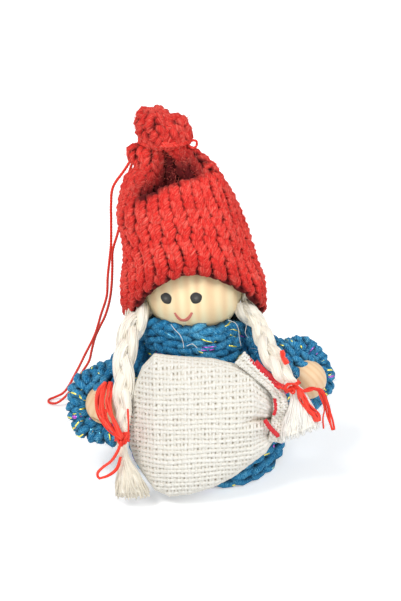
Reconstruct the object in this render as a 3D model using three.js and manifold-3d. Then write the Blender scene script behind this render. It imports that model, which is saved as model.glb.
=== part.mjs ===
// A small hanging doll: a turned wooden core under a knitted dress, a wooden bead head with
// yarn hair and a knitted hat, bead hands in rolled cuffs, two tied braids and a stuffed sack.
// Millimetres, +Z up. The doll faces -Y and the origin is the centre of its flat base.
// Left and right are those of someone who looks at its face.

import * as THREE from "three";
import { mergeVertices } from "three/addons/utils/BufferGeometryUtils.js";
import Module from "manifold-3d";

const wasm = await Module();
wasm.setup();

const { Vector2, Vector3, Matrix4, CatmullRomCurve3 } = THREE;
const { lerp, smoothstep, degToRad } = THREE.MathUtils;

// Fits
const GAP = 0.3; // between pieces that touch
const PAINT_GAP = 0.1; // under a thin coat of paint
const WIRE_EASE = 0.4; // around the arm wire

// Torso
const LEAN = -0.072; // sideways drift of the torso's axis for each millimetre of height
const DRESS_HEIGHT = 42.2;
const HEM_RADIUS = 21.2;
const HEM_ROUND = 1.5;
const COLLAR_RADIUS = 12.5;
const COLLAR_ROUND = 0.7;
const DRESS_SIDES = 32;
const DRESS_WALL = 3.5;
const COLLAR_RISE = 5.4; // of the collar above the core
const DRESS_RIBS = 10; // rows of stitches that run round the dress
const RIB_GROOVE = 0.8; // depth of the groove between two of them
const CORE_HEIGHT = DRESS_HEIGHT - COLLAR_RISE;
const TENON_RADIUS = 2.1;
const TENON_LENGTH = 9;

// Head and face
const HEAD_RADIUS = 12.5;
const FACE_TURN = -14.5; // degrees about the vertical, towards the left
const FACE_NOD = -1.8; // degrees that the face's middle lies below the bead's
const FACE_ROLL = 6.4; // degrees that the face is turned in its own plane
const EYE_SPREAD = 17.75; // degrees from the face's middle
const EYE_RADIUS = 1.3;
const PAINT_THICK = 0.3;
const MOUTH_SHIFT = 1; // degrees that the smile lies to the right of the face's middle
const MOUTH_SPREAD = 10.3;
const MOUTH_LATITUDE = -17.9;
const MOUTH_DEPTH = 11.8; // degrees that the smile drops in its middle
const MOUTH_LINE = 0.25;

// Arms and hands
const SHOULDER_DROP = 7.7; // below the collar's top
const SHOULDER_HEIGHT = DRESS_HEIGHT - SHOULDER_DROP;
const SHOULDER_FRONT = -1;
const WIRE_RADIUS = 0.6;
const SLEEVE_RADIUS = 3.2;
const SHOULDER_SIDES = 16;
const STEM_RADIUS = 2.7; // of the sleeve between shoulder and cuff
const CUFF_RADIUS = 10.8;
const CUFF_ROLL = 2.6; // half the rolled cuff's thickness
const HAND_RADIUS = 5;
const HAND_BORE = 1.1;
const CUFF_BACK = 1.5; // thickness of the knitting behind the hand
const HAND_FORWARD = 2.5; // the bead's centre in front of the cuff's middle
const ARMS = [
  { name: "left", side: -1, out: 9.5, front: 11.8, down: 13.9, facing: [-0.1, -0.88, 0.46] },
  { name: "right", side: 1, out: 12.5, front: 8.3, down: 9.3, facing: [0.64, -0.66, 0.4] },
];

// Hair
const HAIR_THICK = 1.6;
const HAIR_WIDTH = 6;
const HAIR_END = -20; // degrees below the head's middle
const BRAID_ROOT_OUT = 12.8; // from the head's middle
const BRAID_ROOT_DOWN = 5.5;
const BRAID_ROOT_FRONT = -3;
const STRAND_RADIUS = 0.8;
const PLAIT_WIDE = 2;
const PLAIT_DEEP = 1.4;
const PLAIT_PITCH = 21; // along the braid, for one strand to come back to its side

// Hat
const HAT_WALL = 1.7;
const HAT_EASE = 2.3; // between the hair and the hat at the brim
const BRIM_DROP = 8; // below the head's middle, at the sides
const BRIM_ARCH = 14.7; // how much higher the brim is over the face
const BRIM_CURVE = 1.35; // how late the brim rises towards the front
const BRIM_TURN = 4; // degrees that the arch is turned towards the right
const HAT_NECK_RISE = 34.1; // the gathered neck, above the head's middle
const HAT_LEAN = -6.9; // the gathered neck, sideways from the head's middle
const NECK_HALF = 5;
const NECK_FLAT = 0.75; // depth of the neck and the tuft as a share of their width
const TIE_RISE = 0.12; // of the tuft's height, to the tie's middle
const FOLD_START = -8; // where the fold's pocket begins, sideways from the neck
const FOLD_FULL = -1; // where it has its full depth
const FOLD_END = 12; // where it has run out, but for a trace
const FOLD_TRACE = 0.15; // share of the depth that is left there
const FOLD_RIDGE = 1.2; // how far the fold's ridge stands forward
const RIDGE_DROP = 2.2; // of the ridge's fullest line below the fold's edge
const RIDGE_SPREAD = 2.6;
const FOLD_LIP = 1.8; // height over which the ridge turns back into its pocket
const FOLD_DROP = 5; // of the pocket's floor behind the ridge
const FOLD_RISE = 5; // height over which the pocket's back comes up again
const FOLD_EASE = 0.35; // of the pocket's back behind the neck's front
const TUFT_HALF = 6.8;
const TUFT_HEIGHT = 10.3;
const YARN_RADIUS = 0.8;

// Sack
const SACK_BOTTOM = 1.2;
const SACK_TOP = 35.6;
const SACK_LEFT = -19;
const SACK_RIGHT = 15.6;
const SACK_THICK = 5.6; // half the filled sack's thickness
const SACK_BELLY = 0.35; // of the height, where it swells most towards the dress
const SACK_OFF_BELLY = 2.6; // its middle plane from the dress there
const SACK_OFF_TOP = 3.6; // and at its top
const SACK_CLOTH = 0.7;
const SACK_NECK = 1.5;
const NECK_LENGTH = 3;
const CORD_PLACE = 1.7; // along the neck
const SACK_NECK_HEIGHT = 21.5;
const SACK_NECK_FRONT = 0.3; // in front of the plane of the sack's edge
const RUFFLE_CLOTH = 0.7;
const RUFFLE_WAVE = 0.5;
const CORD_RADIUS = 0.55;

// Hanging thread
const THREAD_RADIUS = 0.35;

const COLOURS = {
  wood: 0xd8c69a,
  teal: 0x1b6a94,
  red: 0xc83228,
  cream: 0xf3e9d6,
  cloth: 0xefe8dc,
  floss: 0xe8412f,
  wire: 0x9a9a9a,
  ink: 0x33332f,
  lip: 0xc96a5c,
  wadding: 0xf5f5f2,
};

const UP = new Vector3(0, 0, 1);
const ACROSS = new Vector3(1, 0, 0);

// Solids

function toSolid(geometry) {
  const bare = geometry.clone();
  bare.deleteAttribute("normal");
  bare.deleteAttribute("uv");
  const merged = mergeVertices(bare, 1e-4);
  return new wasm.Manifold(
    new wasm.Mesh({
      numProp: 3,
      vertProperties: new Float32Array(merged.attributes.position.array),
      triVerts: new Uint32Array(merged.index.array),
    }),
  );
}

function toGeometry(solid) {
  const mesh = solid.getMesh();
  const positions = new Float32Array(mesh.numVert * 3);
  for (let i = 0; i < mesh.numVert; i++) {
    const from = i * mesh.numProp;
    positions.set(mesh.vertProperties.subarray(from, from + 3), i * 3);
  }
  const geometry = new THREE.BufferGeometry();
  geometry.setAttribute("position", new THREE.BufferAttribute(positions, 3));
  geometry.setIndex(new THREE.BufferAttribute(new Uint32Array(mesh.triVerts), 1));
  return geometry;
}

function join(geometries) {
  return toGeometry(geometries.map(toSolid).reduce((whole, next) => whole.add(next)));
}

function cut(geometry, tools) {
  return toGeometry(tools.map(toSolid).reduce((left, tool) => left.subtract(tool), toSolid(geometry)));
}

// Six times the volume inside a list of triangles: negative when they face inwards.
function signedVolume(points, triangles) {
  return triangles.reduce((sum, [a, b, c]) => {
    const across = new Vector3().crossVectors(points[b], points[c]);
    return sum + points[a].dot(across);
  }, 0);
}

// A closed skin over rings with the same number of points. A ring of one point is a pole,
// and an open end is closed at its middle.
function skin(rings) {
  const middle = (ring) => [ring.reduce((sum, p) => sum.add(p), new Vector3()).divideScalar(ring.length)];
  const all = [...rings];
  if (all[0].length > 1) all.unshift(middle(all[0]));
  if (all.at(-1).length > 1) all.push(middle(all.at(-1)));
  const points = all.flat();
  const triangles = [];
  let start = 0;
  for (let i = 0; i + 1 < all.length; i++) {
    const next = start + all[i].length;
    const count = Math.max(all[i].length, all[i + 1].length);
    for (let k = 0; k < count; k++) {
      const after = (k + 1) % count;
      if (all[i].length === 1) triangles.push([start, next + k, next + after]);
      else if (all[i + 1].length === 1) triangles.push([start + k, next, start + after]);
      else triangles.push([start + k, next + k, next + after], [start + k, next + after, start + after]);
    }
    start = next;
  }
  if (signedVolume(points, triangles) < 0) triangles.forEach((t) => t.reverse());
  const geometry = new THREE.BufferGeometry().setFromPoints(points);
  geometry.setIndex(triangles.flat());
  return geometry;
}

// A solid of revolution about Z from [radius, height] points that start and end on the axis
// or close on themselves.
function turned(profile, sides) {
  const points = profile.map(([radius, height]) => new Vector2(radius, height));
  return new THREE.LatheGeometry(points, sides).rotateX(Math.PI / 2);
}

// A closed sheet over rows of points, half its thickness to each side of them.
function slab(rows, half) {
  const across = rows[0].length;
  const last = rows.length - 1;
  const front = rows.flat().map((p) => p.clone().sub(half));
  const points = [...front, ...rows.flat().map((p) => p.clone().add(half))];
  const triangles = [];
  const quad = (a, b, c, d) => triangles.push([a, b, c], [a, c, d]);
  const back = (index) => index + front.length;
  const at = (i, j) => i * across + j;
  for (let i = 0; i < last; i++) {
    for (let j = 0; j + 1 < across; j++) {
      const corners = [at(i, j), at(i + 1, j), at(i + 1, j + 1), at(i, j + 1)];
      quad(...corners);
      quad(...corners.reverse().map(back));
    }
  }
  const border = [
    ...rows.map((_, i) => at(i, 0)),
    ...rows[0].slice(1, -1).map((_, j) => at(last, j + 1)),
    ...rows.map((_, i) => at(last - i, across - 1)),
    ...rows[0].slice(1, -1).map((_, j) => at(0, across - 2 - j)),
  ];
  border.forEach((here, k) => {
    const next = border[(k + 1) % border.length];
    quad(next, here, back(here), back(next));
  });
  if (signedVolume(points, triangles) < 0) triangles.forEach((t) => t.reverse());
  const geometry = new THREE.BufferGeometry().setFromPoints(points);
  geometry.setIndex(triangles.flat());
  return geometry;
}

// A round tube along points, with flat ends.
function tube(points, radius, sides, steps) {
  const section = new THREE.Shape();
  section.absarc(0, 0, radius, 0, 2 * Math.PI);
  return new THREE.ExtrudeGeometry(section, {
    steps,
    curveSegments: sides / 2, // of each half turn
    extrudePath: new CatmullRomCurve3(points, false, "centripetal"),
  });
}

function ball(centre, radius, sides = 16) {
  return new THREE.SphereGeometry(radius, sides, sides * 0.75).translate(...centre.toArray());
}

// Moves a shape made about Z so that its Z runs along a direction from a point.
function aim(geometry, at, direction) {
  const turn = new THREE.Quaternion().setFromUnitVectors(UP, direction.clone().normalize());
  return geometry.applyQuaternion(turn).translate(...at.toArray());
}

// A round rod, or a slice of a cone, from one point to another.
function rod(start, end, startRadius, endRadius, sides) {
  const run = end.clone().sub(start);
  const made = new THREE.CylinderGeometry(endRadius, startRadius, run.length(), sides).rotateX(Math.PI / 2);
  return aim(made.translate(0, 0, run.length() / 2), start, run);
}

// A ring of points across a direction, one half width near X and the other across it.
function ovalAcross(at, direction, wide, deep, sides) {
  const first = ACROSS.clone().addScaledVector(direction, -ACROSS.dot(direction)).normalize();
  const second = new Vector3().crossVectors(direction, first);
  return Array.from({ length: sides }, (_, k) => {
    const angle = (2 * Math.PI * k) / sides;
    return at
      .clone()
      .addScaledVector(first, wide * Math.cos(angle))
      .addScaledVector(second, deep * Math.sin(angle));
  });
}

function ellipse(centre, wide, deep, sides, lobes = 0) {
  return Array.from({ length: sides }, (_, k) => {
    const angle = (2 * Math.PI * k) / sides;
    const swell = 1 + lobes * Math.cos(3 * angle + 0.6);
    return new Vector3(
      centre.x + wide * swell * Math.cos(angle),
      centre.y + deep * swell * Math.sin(angle),
      centre.z,
    );
  });
}

// Values between the rows of an outline, each row being [place, value, value, ...].
function along(outline, place) {
  const i = Math.max(
    outline.findLastIndex((row) => row[0] <= place),
    0,
  );
  const low = outline[Math.min(i, outline.length - 2)];
  const high = outline[Math.min(i, outline.length - 2) + 1];
  const share = (place - low[0]) / (high[0] - low[0]);
  return low.slice(1).map((value, k) => lerp(value, high[k + 1], share));
}

const v = (x, y, z) => new Vector3(x, y, z);

// Shared places

const axisAt = (height) => LEAN * height;
const headHeight = CORE_HEIGHT + GAP + Math.sqrt(HEAD_RADIUS ** 2 - (TENON_RADIUS + GAP) ** 2);
const head = v(axisAt(headHeight), 0, headHeight);

function dressRadius(height) {
  const share = smoothstep(1 - height / DRESS_HEIGHT, 0, 1);
  return lerp(COLLAR_RADIUS, HEM_RADIUS, share);
}

const leanOver = new Matrix4().set(1, 0, LEAN, 0, 0, 1, 0, 0, 0, 0, 1, 0, 0, 0, 0, 1);

// A point on the head at a distance from its surface, by degrees of longitude and latitude.
function onHead(longitude, latitude, off = 0) {
  const roll = degToRad(FACE_ROLL);
  const across = longitude * Math.cos(roll) - latitude * Math.sin(roll);
  const up = longitude * Math.sin(roll) + latitude * Math.cos(roll);
  const lon = degToRad(across + FACE_TURN);
  const lat = degToRad(up + FACE_NOD);
  const radius = HEAD_RADIUS + off;
  return v(
    head.x + radius * Math.cos(lat) * Math.sin(lon),
    head.y - radius * Math.cos(lat) * Math.cos(lon),
    head.z + radius * Math.sin(lat),
  );
}

// Torso

const smileThick = PAINT_GAP + 2 * MOUTH_LINE;

function bodyCore() {
  const heights = [0, 0.25, 0.5, 0.75, 1].map((share) => share * CORE_HEIGHT);
  const side = heights.map((z) => [dressRadius(z) - DRESS_WALL - GAP, z]);
  const tenonTop = CORE_HEIGHT + TENON_LENGTH;
  const profile = [[0, 0], ...side, [TENON_RADIUS, CORE_HEIGHT], [TENON_RADIUS, tenonTop], [0, tenonTop]];
  const whole = turned(profile, 28).applyMatrix4(leanOver);
  return cut(whole, [crossRod(WIRE_RADIUS + WIRE_EASE, COLLAR_RADIUS + DRESS_WALL)]);
}

// The straight hole, or wire, between the shoulders.
function crossRod(radius, half) {
  const middle = v(axisAt(SHOULDER_HEIGHT), SHOULDER_FRONT, SHOULDER_HEIGHT);
  const left = middle.clone().addScaledVector(ACROSS, -half);
  return rod(left, middle.addScaledVector(ACROSS, half), radius, radius, 12);
}

const centreWire = () => crossRod(WIRE_RADIUS, dressRadius(SHOULDER_HEIGHT) - SLEEVE_RADIUS - GAP);

// The dress's outside from hem to collar, with the grooves between its rows of stitches.
function knittedSide() {
  const count = 2 * DRESS_RIBS;
  const ribs = Array.from({ length: count - 1 }, (_, i) => {
    const z = ((i + 1) / count) * DRESS_HEIGHT;
    return [dressRadius(z) - (i % 2) * RIB_GROOVE, z];
  });
  const plain = dressSide(0);
  return [plain[0], ...ribs, ...plain.slice(-2)];
}

// The dress's outside without them, grown by a clearance.
function dressSide(grow) {
  const heights = [0.04, 0.16, 0.3, 0.44, 0.58, 0.72, 0.86].map((share) => share * DRESS_HEIGHT);
  return [
    [dressRadius(0) - HEM_ROUND + grow, 0],
    ...heights.map((z) => [dressRadius(z) + grow, z]),
    [COLLAR_RADIUS + grow, DRESS_HEIGHT - COLLAR_ROUND],
    [COLLAR_RADIUS - COLLAR_ROUND + grow, DRESS_HEIGHT],
  ];
}

// Everything inside the dress's outline.
function dressSpace(grow) {
  const side = dressSide(grow);
  const profile = [[0, 0], ...side, [0, DRESS_HEIGHT]];
  return turned(profile, DRESS_SIDES).applyMatrix4(leanOver);
}

function dress() {
  const outer = knittedSide();
  const cup = (z) => {
    const chord = Math.sqrt(Math.max(HEAD_RADIUS ** 2 - (headHeight - z) ** 2, 0));
    const drift = Math.abs(LEAN) * (headHeight - z);
    return Math.max(dressRadius(z) - DRESS_WALL, chord + drift + smileThick + GAP);
  };
  const overCore = [1, 0.66, 0.33, 0].map((share) => lerp(CORE_HEIGHT, DRESS_HEIGHT, share));
  const roundCore = [0.75, 0.5, 0.25, 0].map((share) => share * CORE_HEIGHT);
  const inner = [
    ...overCore.map((z) => [cup(z), z]),
    ...roundCore.map((z) => [dressRadius(z) - DRESS_WALL, z]),
  ];
  const shell = turned([...outer, ...inner, outer[0]], DRESS_SIDES).applyMatrix4(leanOver);
  const armholes = ARMS.map((arm) => ball(shoulder(arm), SLEEVE_RADIUS + GAP, SHOULDER_SIDES));
  return cut(shell, [...armholes, crossRod(WIRE_RADIUS + WIRE_EASE, COLLAR_RADIUS + DRESS_WALL)]);
}

// Head

function bead(radius, bore, sides, rows) {
  const start = Math.asin(bore / radius);
  const arc = Array.from({ length: rows + 1 }, (_, i) => {
    const angle = lerp(-Math.PI / 2 + start, Math.PI / 2 - start, i / rows);
    return [radius * Math.cos(angle), radius * Math.sin(angle)];
  });
  return turned([...arc, arc[0]], sides);
}

function headBead() {
  return aim(bead(HEAD_RADIUS, TENON_RADIUS + GAP, 28, 13), head, v(LEAN, 0, 1));
}

function eye(side) {
  const back = onHead(side * EYE_SPREAD, 0, PAINT_GAP);
  return rod(back, onHead(side * EYE_SPREAD, 0, PAINT_GAP + PAINT_THICK), EYE_RADIUS, EYE_RADIUS, 16);
}

function mouth() {
  const points = [-1, -0.6, -0.2, 0.2, 0.6, 1].map((share) => {
    const latitude = MOUTH_LATITUDE - MOUTH_DEPTH * (1 - share * share);
    return onHead(MOUTH_SHIFT + share * MOUTH_SPREAD, latitude, PAINT_GAP + MOUTH_LINE);
  });
  return tube(points, MOUTH_LINE, 6, 10);
}

// A flat hank of yarn laid over the head under the hat.
function hairHank() {
  const inner = HEAD_RADIUS + GAP;
  const outer = inner + HAIR_THICK;
  const sections = 16;
  const rings = [];
  for (let i = 0; i <= sections; i++) {
    const angle = degToRad(lerp(HAIR_END, 180 - HAIR_END, i / sections));
    const at = (radius, y) =>
      v(head.x + radius * Math.cos(angle), BRAID_ROOT_FRONT / 2 + y, head.z + radius * Math.sin(angle));
    const half = HAIR_WIDTH / 2;
    rings.push([
      at(inner, -half),
      at(outer - HAIR_THICK / 4, -half),
      at(outer, -half / 2),
      at(outer, half / 2),
      at(outer - HAIR_THICK / 4, half),
      at(inner, half),
    ]);
  }
  return skin(rings);
}

// Hat: share of the height from brim to neck, half width and half depth as shares of the
// brim's half width, and share of the sideways lean.
const HAT_OUTLINE = [
  [0, 1, 0.85, 0],
  [0.19, 0.98, 0.81, 0.03],
  [0.32, 0.91, 0.75, 0.15],
  [0.45, 0.87, 0.71, 0.31],
  [0.58, 0.83, 0.67, 0.49],
  [0.68, 0.78, 0.61, 0.58],
  [0.8, 0.68, 0.49, 0.68],
  [0.89, 0.57, 0.39, 0.72],
  [0.95, 0.46, 0.31, 0.87],
  [1, 0.3, 0.24, 1],
];
const brimHalf = HEAD_RADIUS + GAP + HAIR_THICK + HAT_EASE + HAT_WALL;
const neck = v(head.x + HAT_LEAN, head.y, head.z + HAT_NECK_RISE);

// Where the ridge of the fold across the hat's front runs: sideways and upwards from the neck.
const FOLD_LINE = [
  [-7.5, -15],
  [-3.5, -12.3],
  [0.5, -9.2],
  [4.5, -7.6],
  [10.5, -6.4],
  [14.5, -4.8],
];

// A point of the hat's outside after the fold: the ridge stands forward, and behind it a
// pocket drops and then rises to the neck.
function folded(p) {
  const back = head.y - NECK_FLAT * NECK_HALF + FOLD_EASE;
  if (p.y > back) return p;
  const side = p.x - neck.x;
  const above = p.z - neck.z - along(FOLD_LINE, side)[0];
  const fading = (1 - FOLD_TRACE) * smoothstep(side, FOLD_FULL, FOLD_END);
  const weight = smoothstep(side, FOLD_START, FOLD_FULL) * (1 - fading);
  const into = weight * smoothstep(above, 0, FOLD_LIP);
  const low = smoothstep(above, 0, FOLD_LIP) * (1 - smoothstep(above, FOLD_LIP, FOLD_LIP + FOLD_RISE));
  const fullness = Math.exp(-(((above + RIDGE_DROP) / RIDGE_SPREAD) ** 2));
  const ridge = FOLD_RIDGE * fullness * smoothstep(back - p.y, 0, 4);
  return v(p.x, lerp(p.y, back, into) - ridge, p.z - weight * FOLD_DROP * low);
}

function hatRing(share, inset, sides) {
  const low = head.z - BRIM_DROP;
  return Array.from({ length: sides }, (_, k) => {
    const angle = (2 * Math.PI * k) / sides;
    const front = Math.max(0, -Math.sin(angle - degToRad(BRIM_TURN)));
    const brim = (BRIM_ARCH / (neck.z - low)) * front ** BRIM_CURVE;
    const place = lerp(brim, 1, share);
    const [wide, deep, lean] = along(HAT_OUTLINE, place);
    return v(
      lerp(head.x, neck.x, lean) + (wide * brimHalf - inset) * Math.cos(angle),
      head.y + (deep * brimHalf - inset) * Math.sin(angle),
      lerp(low, neck.z, place),
    );
  });
}

function hat() {
  const sides = 32;
  const inside = [0.46, 0.32, 0.16, 0].map((share) => hatRing(share, HAT_WALL, sides));
  const places = [0, 0.15, 0.3, 0.44, 0.56, 0.63, 0.69, 0.74, 0.78, 0.82, 0.87, 0.91, 0.95];
  const outside = places.map((share) => hatRing(share, 0, sides).map(folded));
  const ridge = HAT_WALL / 3;
  const tuft = [
    [0, NECK_HALF + ridge, 0, 0],
    [TIE_RISE, NECK_HALF, 0, 0],
    [2 * TIE_RISE, NECK_HALF + ridge, 0, 0.03],
    [0.45, TUFT_HALF, -0.1, 0.1],
    [0.68, TUFT_HALF, -0.13, 0.1],
    [0.86, 0.72 * TUFT_HALF, -0.26, 0.06],
  ].map(([rise, half, drift, lobes]) =>
    ellipse(
      v(neck.x + drift * TUFT_HALF, neck.y, neck.z + rise * TUFT_HEIGHT),
      half,
      NECK_FLAT * half,
      sides,
      lobes,
    ),
  );
  const insideTop = [v(lerp(head.x, neck.x, 0.5), head.y, lerp(head.z, neck.z, 0.56))];
  const top = [v(neck.x - 0.35 * TUFT_HALF, neck.y, neck.z + TUFT_HEIGHT)];
  return skin([insideTop, ...inside, ...outside, ...tuft, top]);
}

function hatTie() {
  const reach = YARN_RADIUS + GAP;
  const middle = v(neck.x, neck.y, neck.z + TIE_RISE * TUFT_HEIGHT);
  const steps = 24;
  const rings = Array.from({ length: steps }, (_, k) => {
    const angle = (2 * Math.PI * k) / steps;
    const out = v(Math.cos(angle), Math.sin(angle), 0);
    const on = v(NECK_HALF * out.x, NECK_FLAT * NECK_HALF * out.y, 0).addScaledVector(out, reach);
    return Array.from({ length: 8 }, (_, n) => {
      const around = (2 * Math.PI * n) / 8;
      return middle
        .clone()
        .add(on)
        .addScaledVector(out, YARN_RADIUS * Math.cos(around))
        .addScaledVector(UP, YARN_RADIUS * Math.sin(around));
    });
  });
  return ringSkin(rings);
}

// A closed skin over rings that come back to the first one.
function ringSkin(rings) {
  const sides = rings[0].length;
  const points = rings.flat();
  const triangles = [];
  rings.forEach((_, i) => {
    const here = i * sides;
    const next = ((i + 1) % rings.length) * sides;
    for (let k = 0; k < sides; k++) {
      const after = (k + 1) % sides;
      triangles.push([here + k, next + k, next + after], [here + k, next + after, here + after]);
    }
  });
  if (signedVolume(points, triangles) < 0) triangles.forEach((t) => t.reverse());
  const geometry = new THREE.BufferGeometry().setFromPoints(points);
  geometry.setIndex(triangles.flat());
  return geometry;
}

// Arms

function shoulder(arm) {
  const reach = dressRadius(SHOULDER_HEIGHT);
  return v(axisAt(SHOULDER_HEIGHT) + arm.side * reach, SHOULDER_FRONT, SHOULDER_HEIGHT);
}

const facing = (arm) => v(...arm.facing).normalize();
const cuffCentre = (arm) => shoulder(arm).add(v(arm.side * arm.out, -arm.front, -arm.down));
const handCentre = (arm) => cuffCentre(arm).addScaledVector(facing(arm), HAND_FORWARD);

const armLine = (arm) => handCentre(arm).sub(shoulder(arm)).normalize();

// The rolled cuff, a ring round the hand bead with a cup behind it.
function cuff(arm) {
  const roll = Array.from({ length: 8 }, (_, i) => {
    const angle = lerp(-0.75, 0.95, i / 7) * Math.PI;
    return [CUFF_RADIUS - CUFF_ROLL * (1 - Math.cos(angle)), CUFF_ROLL * Math.sin(angle)];
  });
  const behind = HAND_FORWARD - HAND_RADIUS - GAP;
  const profile = [
    [0, behind - CUFF_BACK],
    [CUFF_RADIUS - 2 * CUFF_ROLL, behind - CUFF_BACK],
    ...roll,
    [0, behind],
  ];
  return aim(turned(profile, 22), cuffCentre(arm), facing(arm));
}

function sleeve(arm) {
  const start = shoulder(arm);
  const inner = start.clone().addScaledVector(ACROSS, -arm.side * SLEEVE_RADIUS);
  const loose = WIRE_RADIUS + WIRE_EASE;
  const end = handCentre(arm).addScaledVector(armLine(arm), CUFF_ROLL - CUFF_RADIUS);
  const stem = rod(start, end, STEM_RADIUS, STEM_RADIUS, SHOULDER_SIDES);
  const outside = cut(join([cuff(arm), stem]), [dressSpace(GAP)]);
  const whole = join([outside, ball(start, SLEEVE_RADIUS, SHOULDER_SIDES)]);
  const bores = [inner, handCentre(arm)].map((end) => rod(start, end, loose, loose, 12));
  return cut(whole, [...bores, ball(handCentre(arm), HAND_RADIUS + GAP, 24)]);
}

// The wire from the shoulder into the hand bead's bore.
function armWire(arm) {
  const line = armLine(arm);
  const end = handCentre(arm).addScaledVector(line, HAND_RADIUS / 2);
  return rod(shoulder(arm), end, WIRE_RADIUS, WIRE_RADIUS, 12);
}

function handBead(arm) {
  return aim(bead(HAND_RADIUS, HAND_BORE, 20, 10), handCentre(arm), armLine(arm));
}

// Braids. Each hangs from its root beside the head to a tie, and ends in a tassel.

const BRAIDS = [
  {
    name: "left",
    arm: ARMS[0],
    tie: [4.5, -12.6, -2.2], // from the cuff's middle
    bends: [
      [0.12, -1, -0.9, 0.7],
      [0.4, -1.6, -2.2, 2.3],
      [0.68, -0.9, -2.5, 0.8],
    ],
    tassel: [2.5, -3.4, -15.2],
    flare: [4.2, 2.3],
    reach: 0.62,
  },
  {
    name: "right",
    arm: ARMS[1],
    tie: [-3, -12.8, 5.2],
    bends: [
      [0.2, 0.8, 0.9, -1.4],
      [0.45, -0.8, -2.2, -0.1],
      [0.7, -1.2, -3.8, 1],
    ],
    tassel: [2.1, -3, -11.7],
    flare: [4.7, 2.6],
    reach: 0.7,
  },
];

const braidRoot = (braid) =>
  v(head.x + braid.arm.side * BRAID_ROOT_OUT, head.y + BRAID_ROOT_FRONT, head.z - BRAID_ROOT_DOWN);
const tiePoint = (braid) => cuffCentre(braid.arm).add(v(...braid.tie));

// The braid's middle line: straight from root to tie, pushed aside at its bends. Each bend is
// a share of the way and an offset.
function braidLine(braid) {
  const root = braidRoot(braid);
  const tie = tiePoint(braid);
  const bends = braid.bends.map(([share, x, y, z]) => root.clone().lerp(tie, share).add(v(x, y, z)));
  return new CatmullRomCurve3([root, ...bends, tie], false, "centripetal");
}

function braidStrand(braid, number) {
  const line = braidLine(braid);
  const length = line.getLength();
  const steps = 18;
  const start = 0.02;
  const end = 1 - (TIE_LENGTH / 2 + GAP + STRAND_RADIUS / 2) / length;
  const middles = Array.from({ length: steps + 1 }, (_, i) => {
    const share = lerp(start, end, i / steps);
    const taper = Math.min(1, 0.5 + 1.8 * share, braid.reach + 2.2 * (1 - share));
    const phase = (2 * Math.PI * share * length) / PLAIT_PITCH + (2 * Math.PI * number) / 3;
    const direction = line.getTangentAt(share);
    const wide = ACROSS.clone().addScaledVector(direction, -ACROSS.dot(direction)).normalize();
    const deep = new Vector3().crossVectors(direction, wide);
    const at = line
      .getPointAt(share)
      .addScaledVector(wide, taper * PLAIT_WIDE * Math.sin(phase))
      .addScaledVector(deep, taper * PLAIT_DEEP * Math.sin(2 * phase));
    return { at, taper };
  });
  const rings = middles.map(({ at, taper }, i) => {
    const before = middles[Math.max(i - 1, 0)].at;
    const after = middles[Math.min(i + 1, steps)].at;
    const direction = after.clone().sub(before).normalize();
    return ovalAcross(at, direction, taper * STRAND_RADIUS, taper * STRAND_RADIUS, 7);
  });
  return skin(rings);
}

const TIE_LENGTH = 2.4;
const TIE_WALL = 0.7;
const KNOT_RADIUS = 1.2;

const tieAxis = (braid) => braidLine(braid).getTangentAt(1);
const tieInner = (braid) => braid.reach * (PLAIT_WIDE + STRAND_RADIUS) + GAP;
const besideTie = (braid, off) => tiePoint(braid).addScaledVector(tieAxis(braid), off);

// One length of floss: a few turns round the braid's end, the knot in front, and its bow.
function tie(braid) {
  const inner = tieInner(braid);
  const outer = inner + TIE_WALL;
  const half = TIE_LENGTH / 2;
  const wrap = rod(besideTie(braid, -half), besideTie(braid, half), outer, outer, 18);
  const knot = ball(tiePoint(braid).add(v(0, -outer - KNOT_RADIUS / 2, 0)), KNOT_RADIUS, 10);
  const bow = BOWS[braid.name];
  const bundle = bowPiece(braid, bow.loop, bow.loopRadius);
  const tail = bowPiece(braid, bow.tail, bow.tailRadius);
  const hole = rod(besideTie(braid, -2 * half), besideTie(braid, 2 * half), inner, inner, 18);
  return cut(join([wrap, knot, bundle, tail]), [hole]);
}

// The loose ends: they pass through the tie, then fall and spread.
function tassel(braid) {
  const axis = tieAxis(braid);
  const first = tieInner(braid) - GAP;
  const [wide, deep] = braid.flare;
  const top = besideTie(braid, -TIE_LENGTH / 2);
  const out = besideTie(braid, TIE_LENGTH / 2 + GAP);
  const end = tiePoint(braid).add(v(...braid.tassel));
  const run = end.clone().sub(out);
  const fall = run.clone().normalize();
  const turning = axis.clone().lerp(fall, 0.6).normalize();
  const section = (share, direction, x, y) =>
    ovalAcross(out.clone().addScaledVector(run, share), direction, x, y, 18);
  return skin([
    ovalAcross(top, axis, first, first, 18),
    section(0, axis, first, first),
    section(0.35, turning, lerp(first, wide, 0.6), lerp(first, deep, 0.6)),
    section(0.7, fall, wide, deep),
    section(1, fall, 0.92 * wide, 0.92 * deep),
  ]);
}

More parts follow.
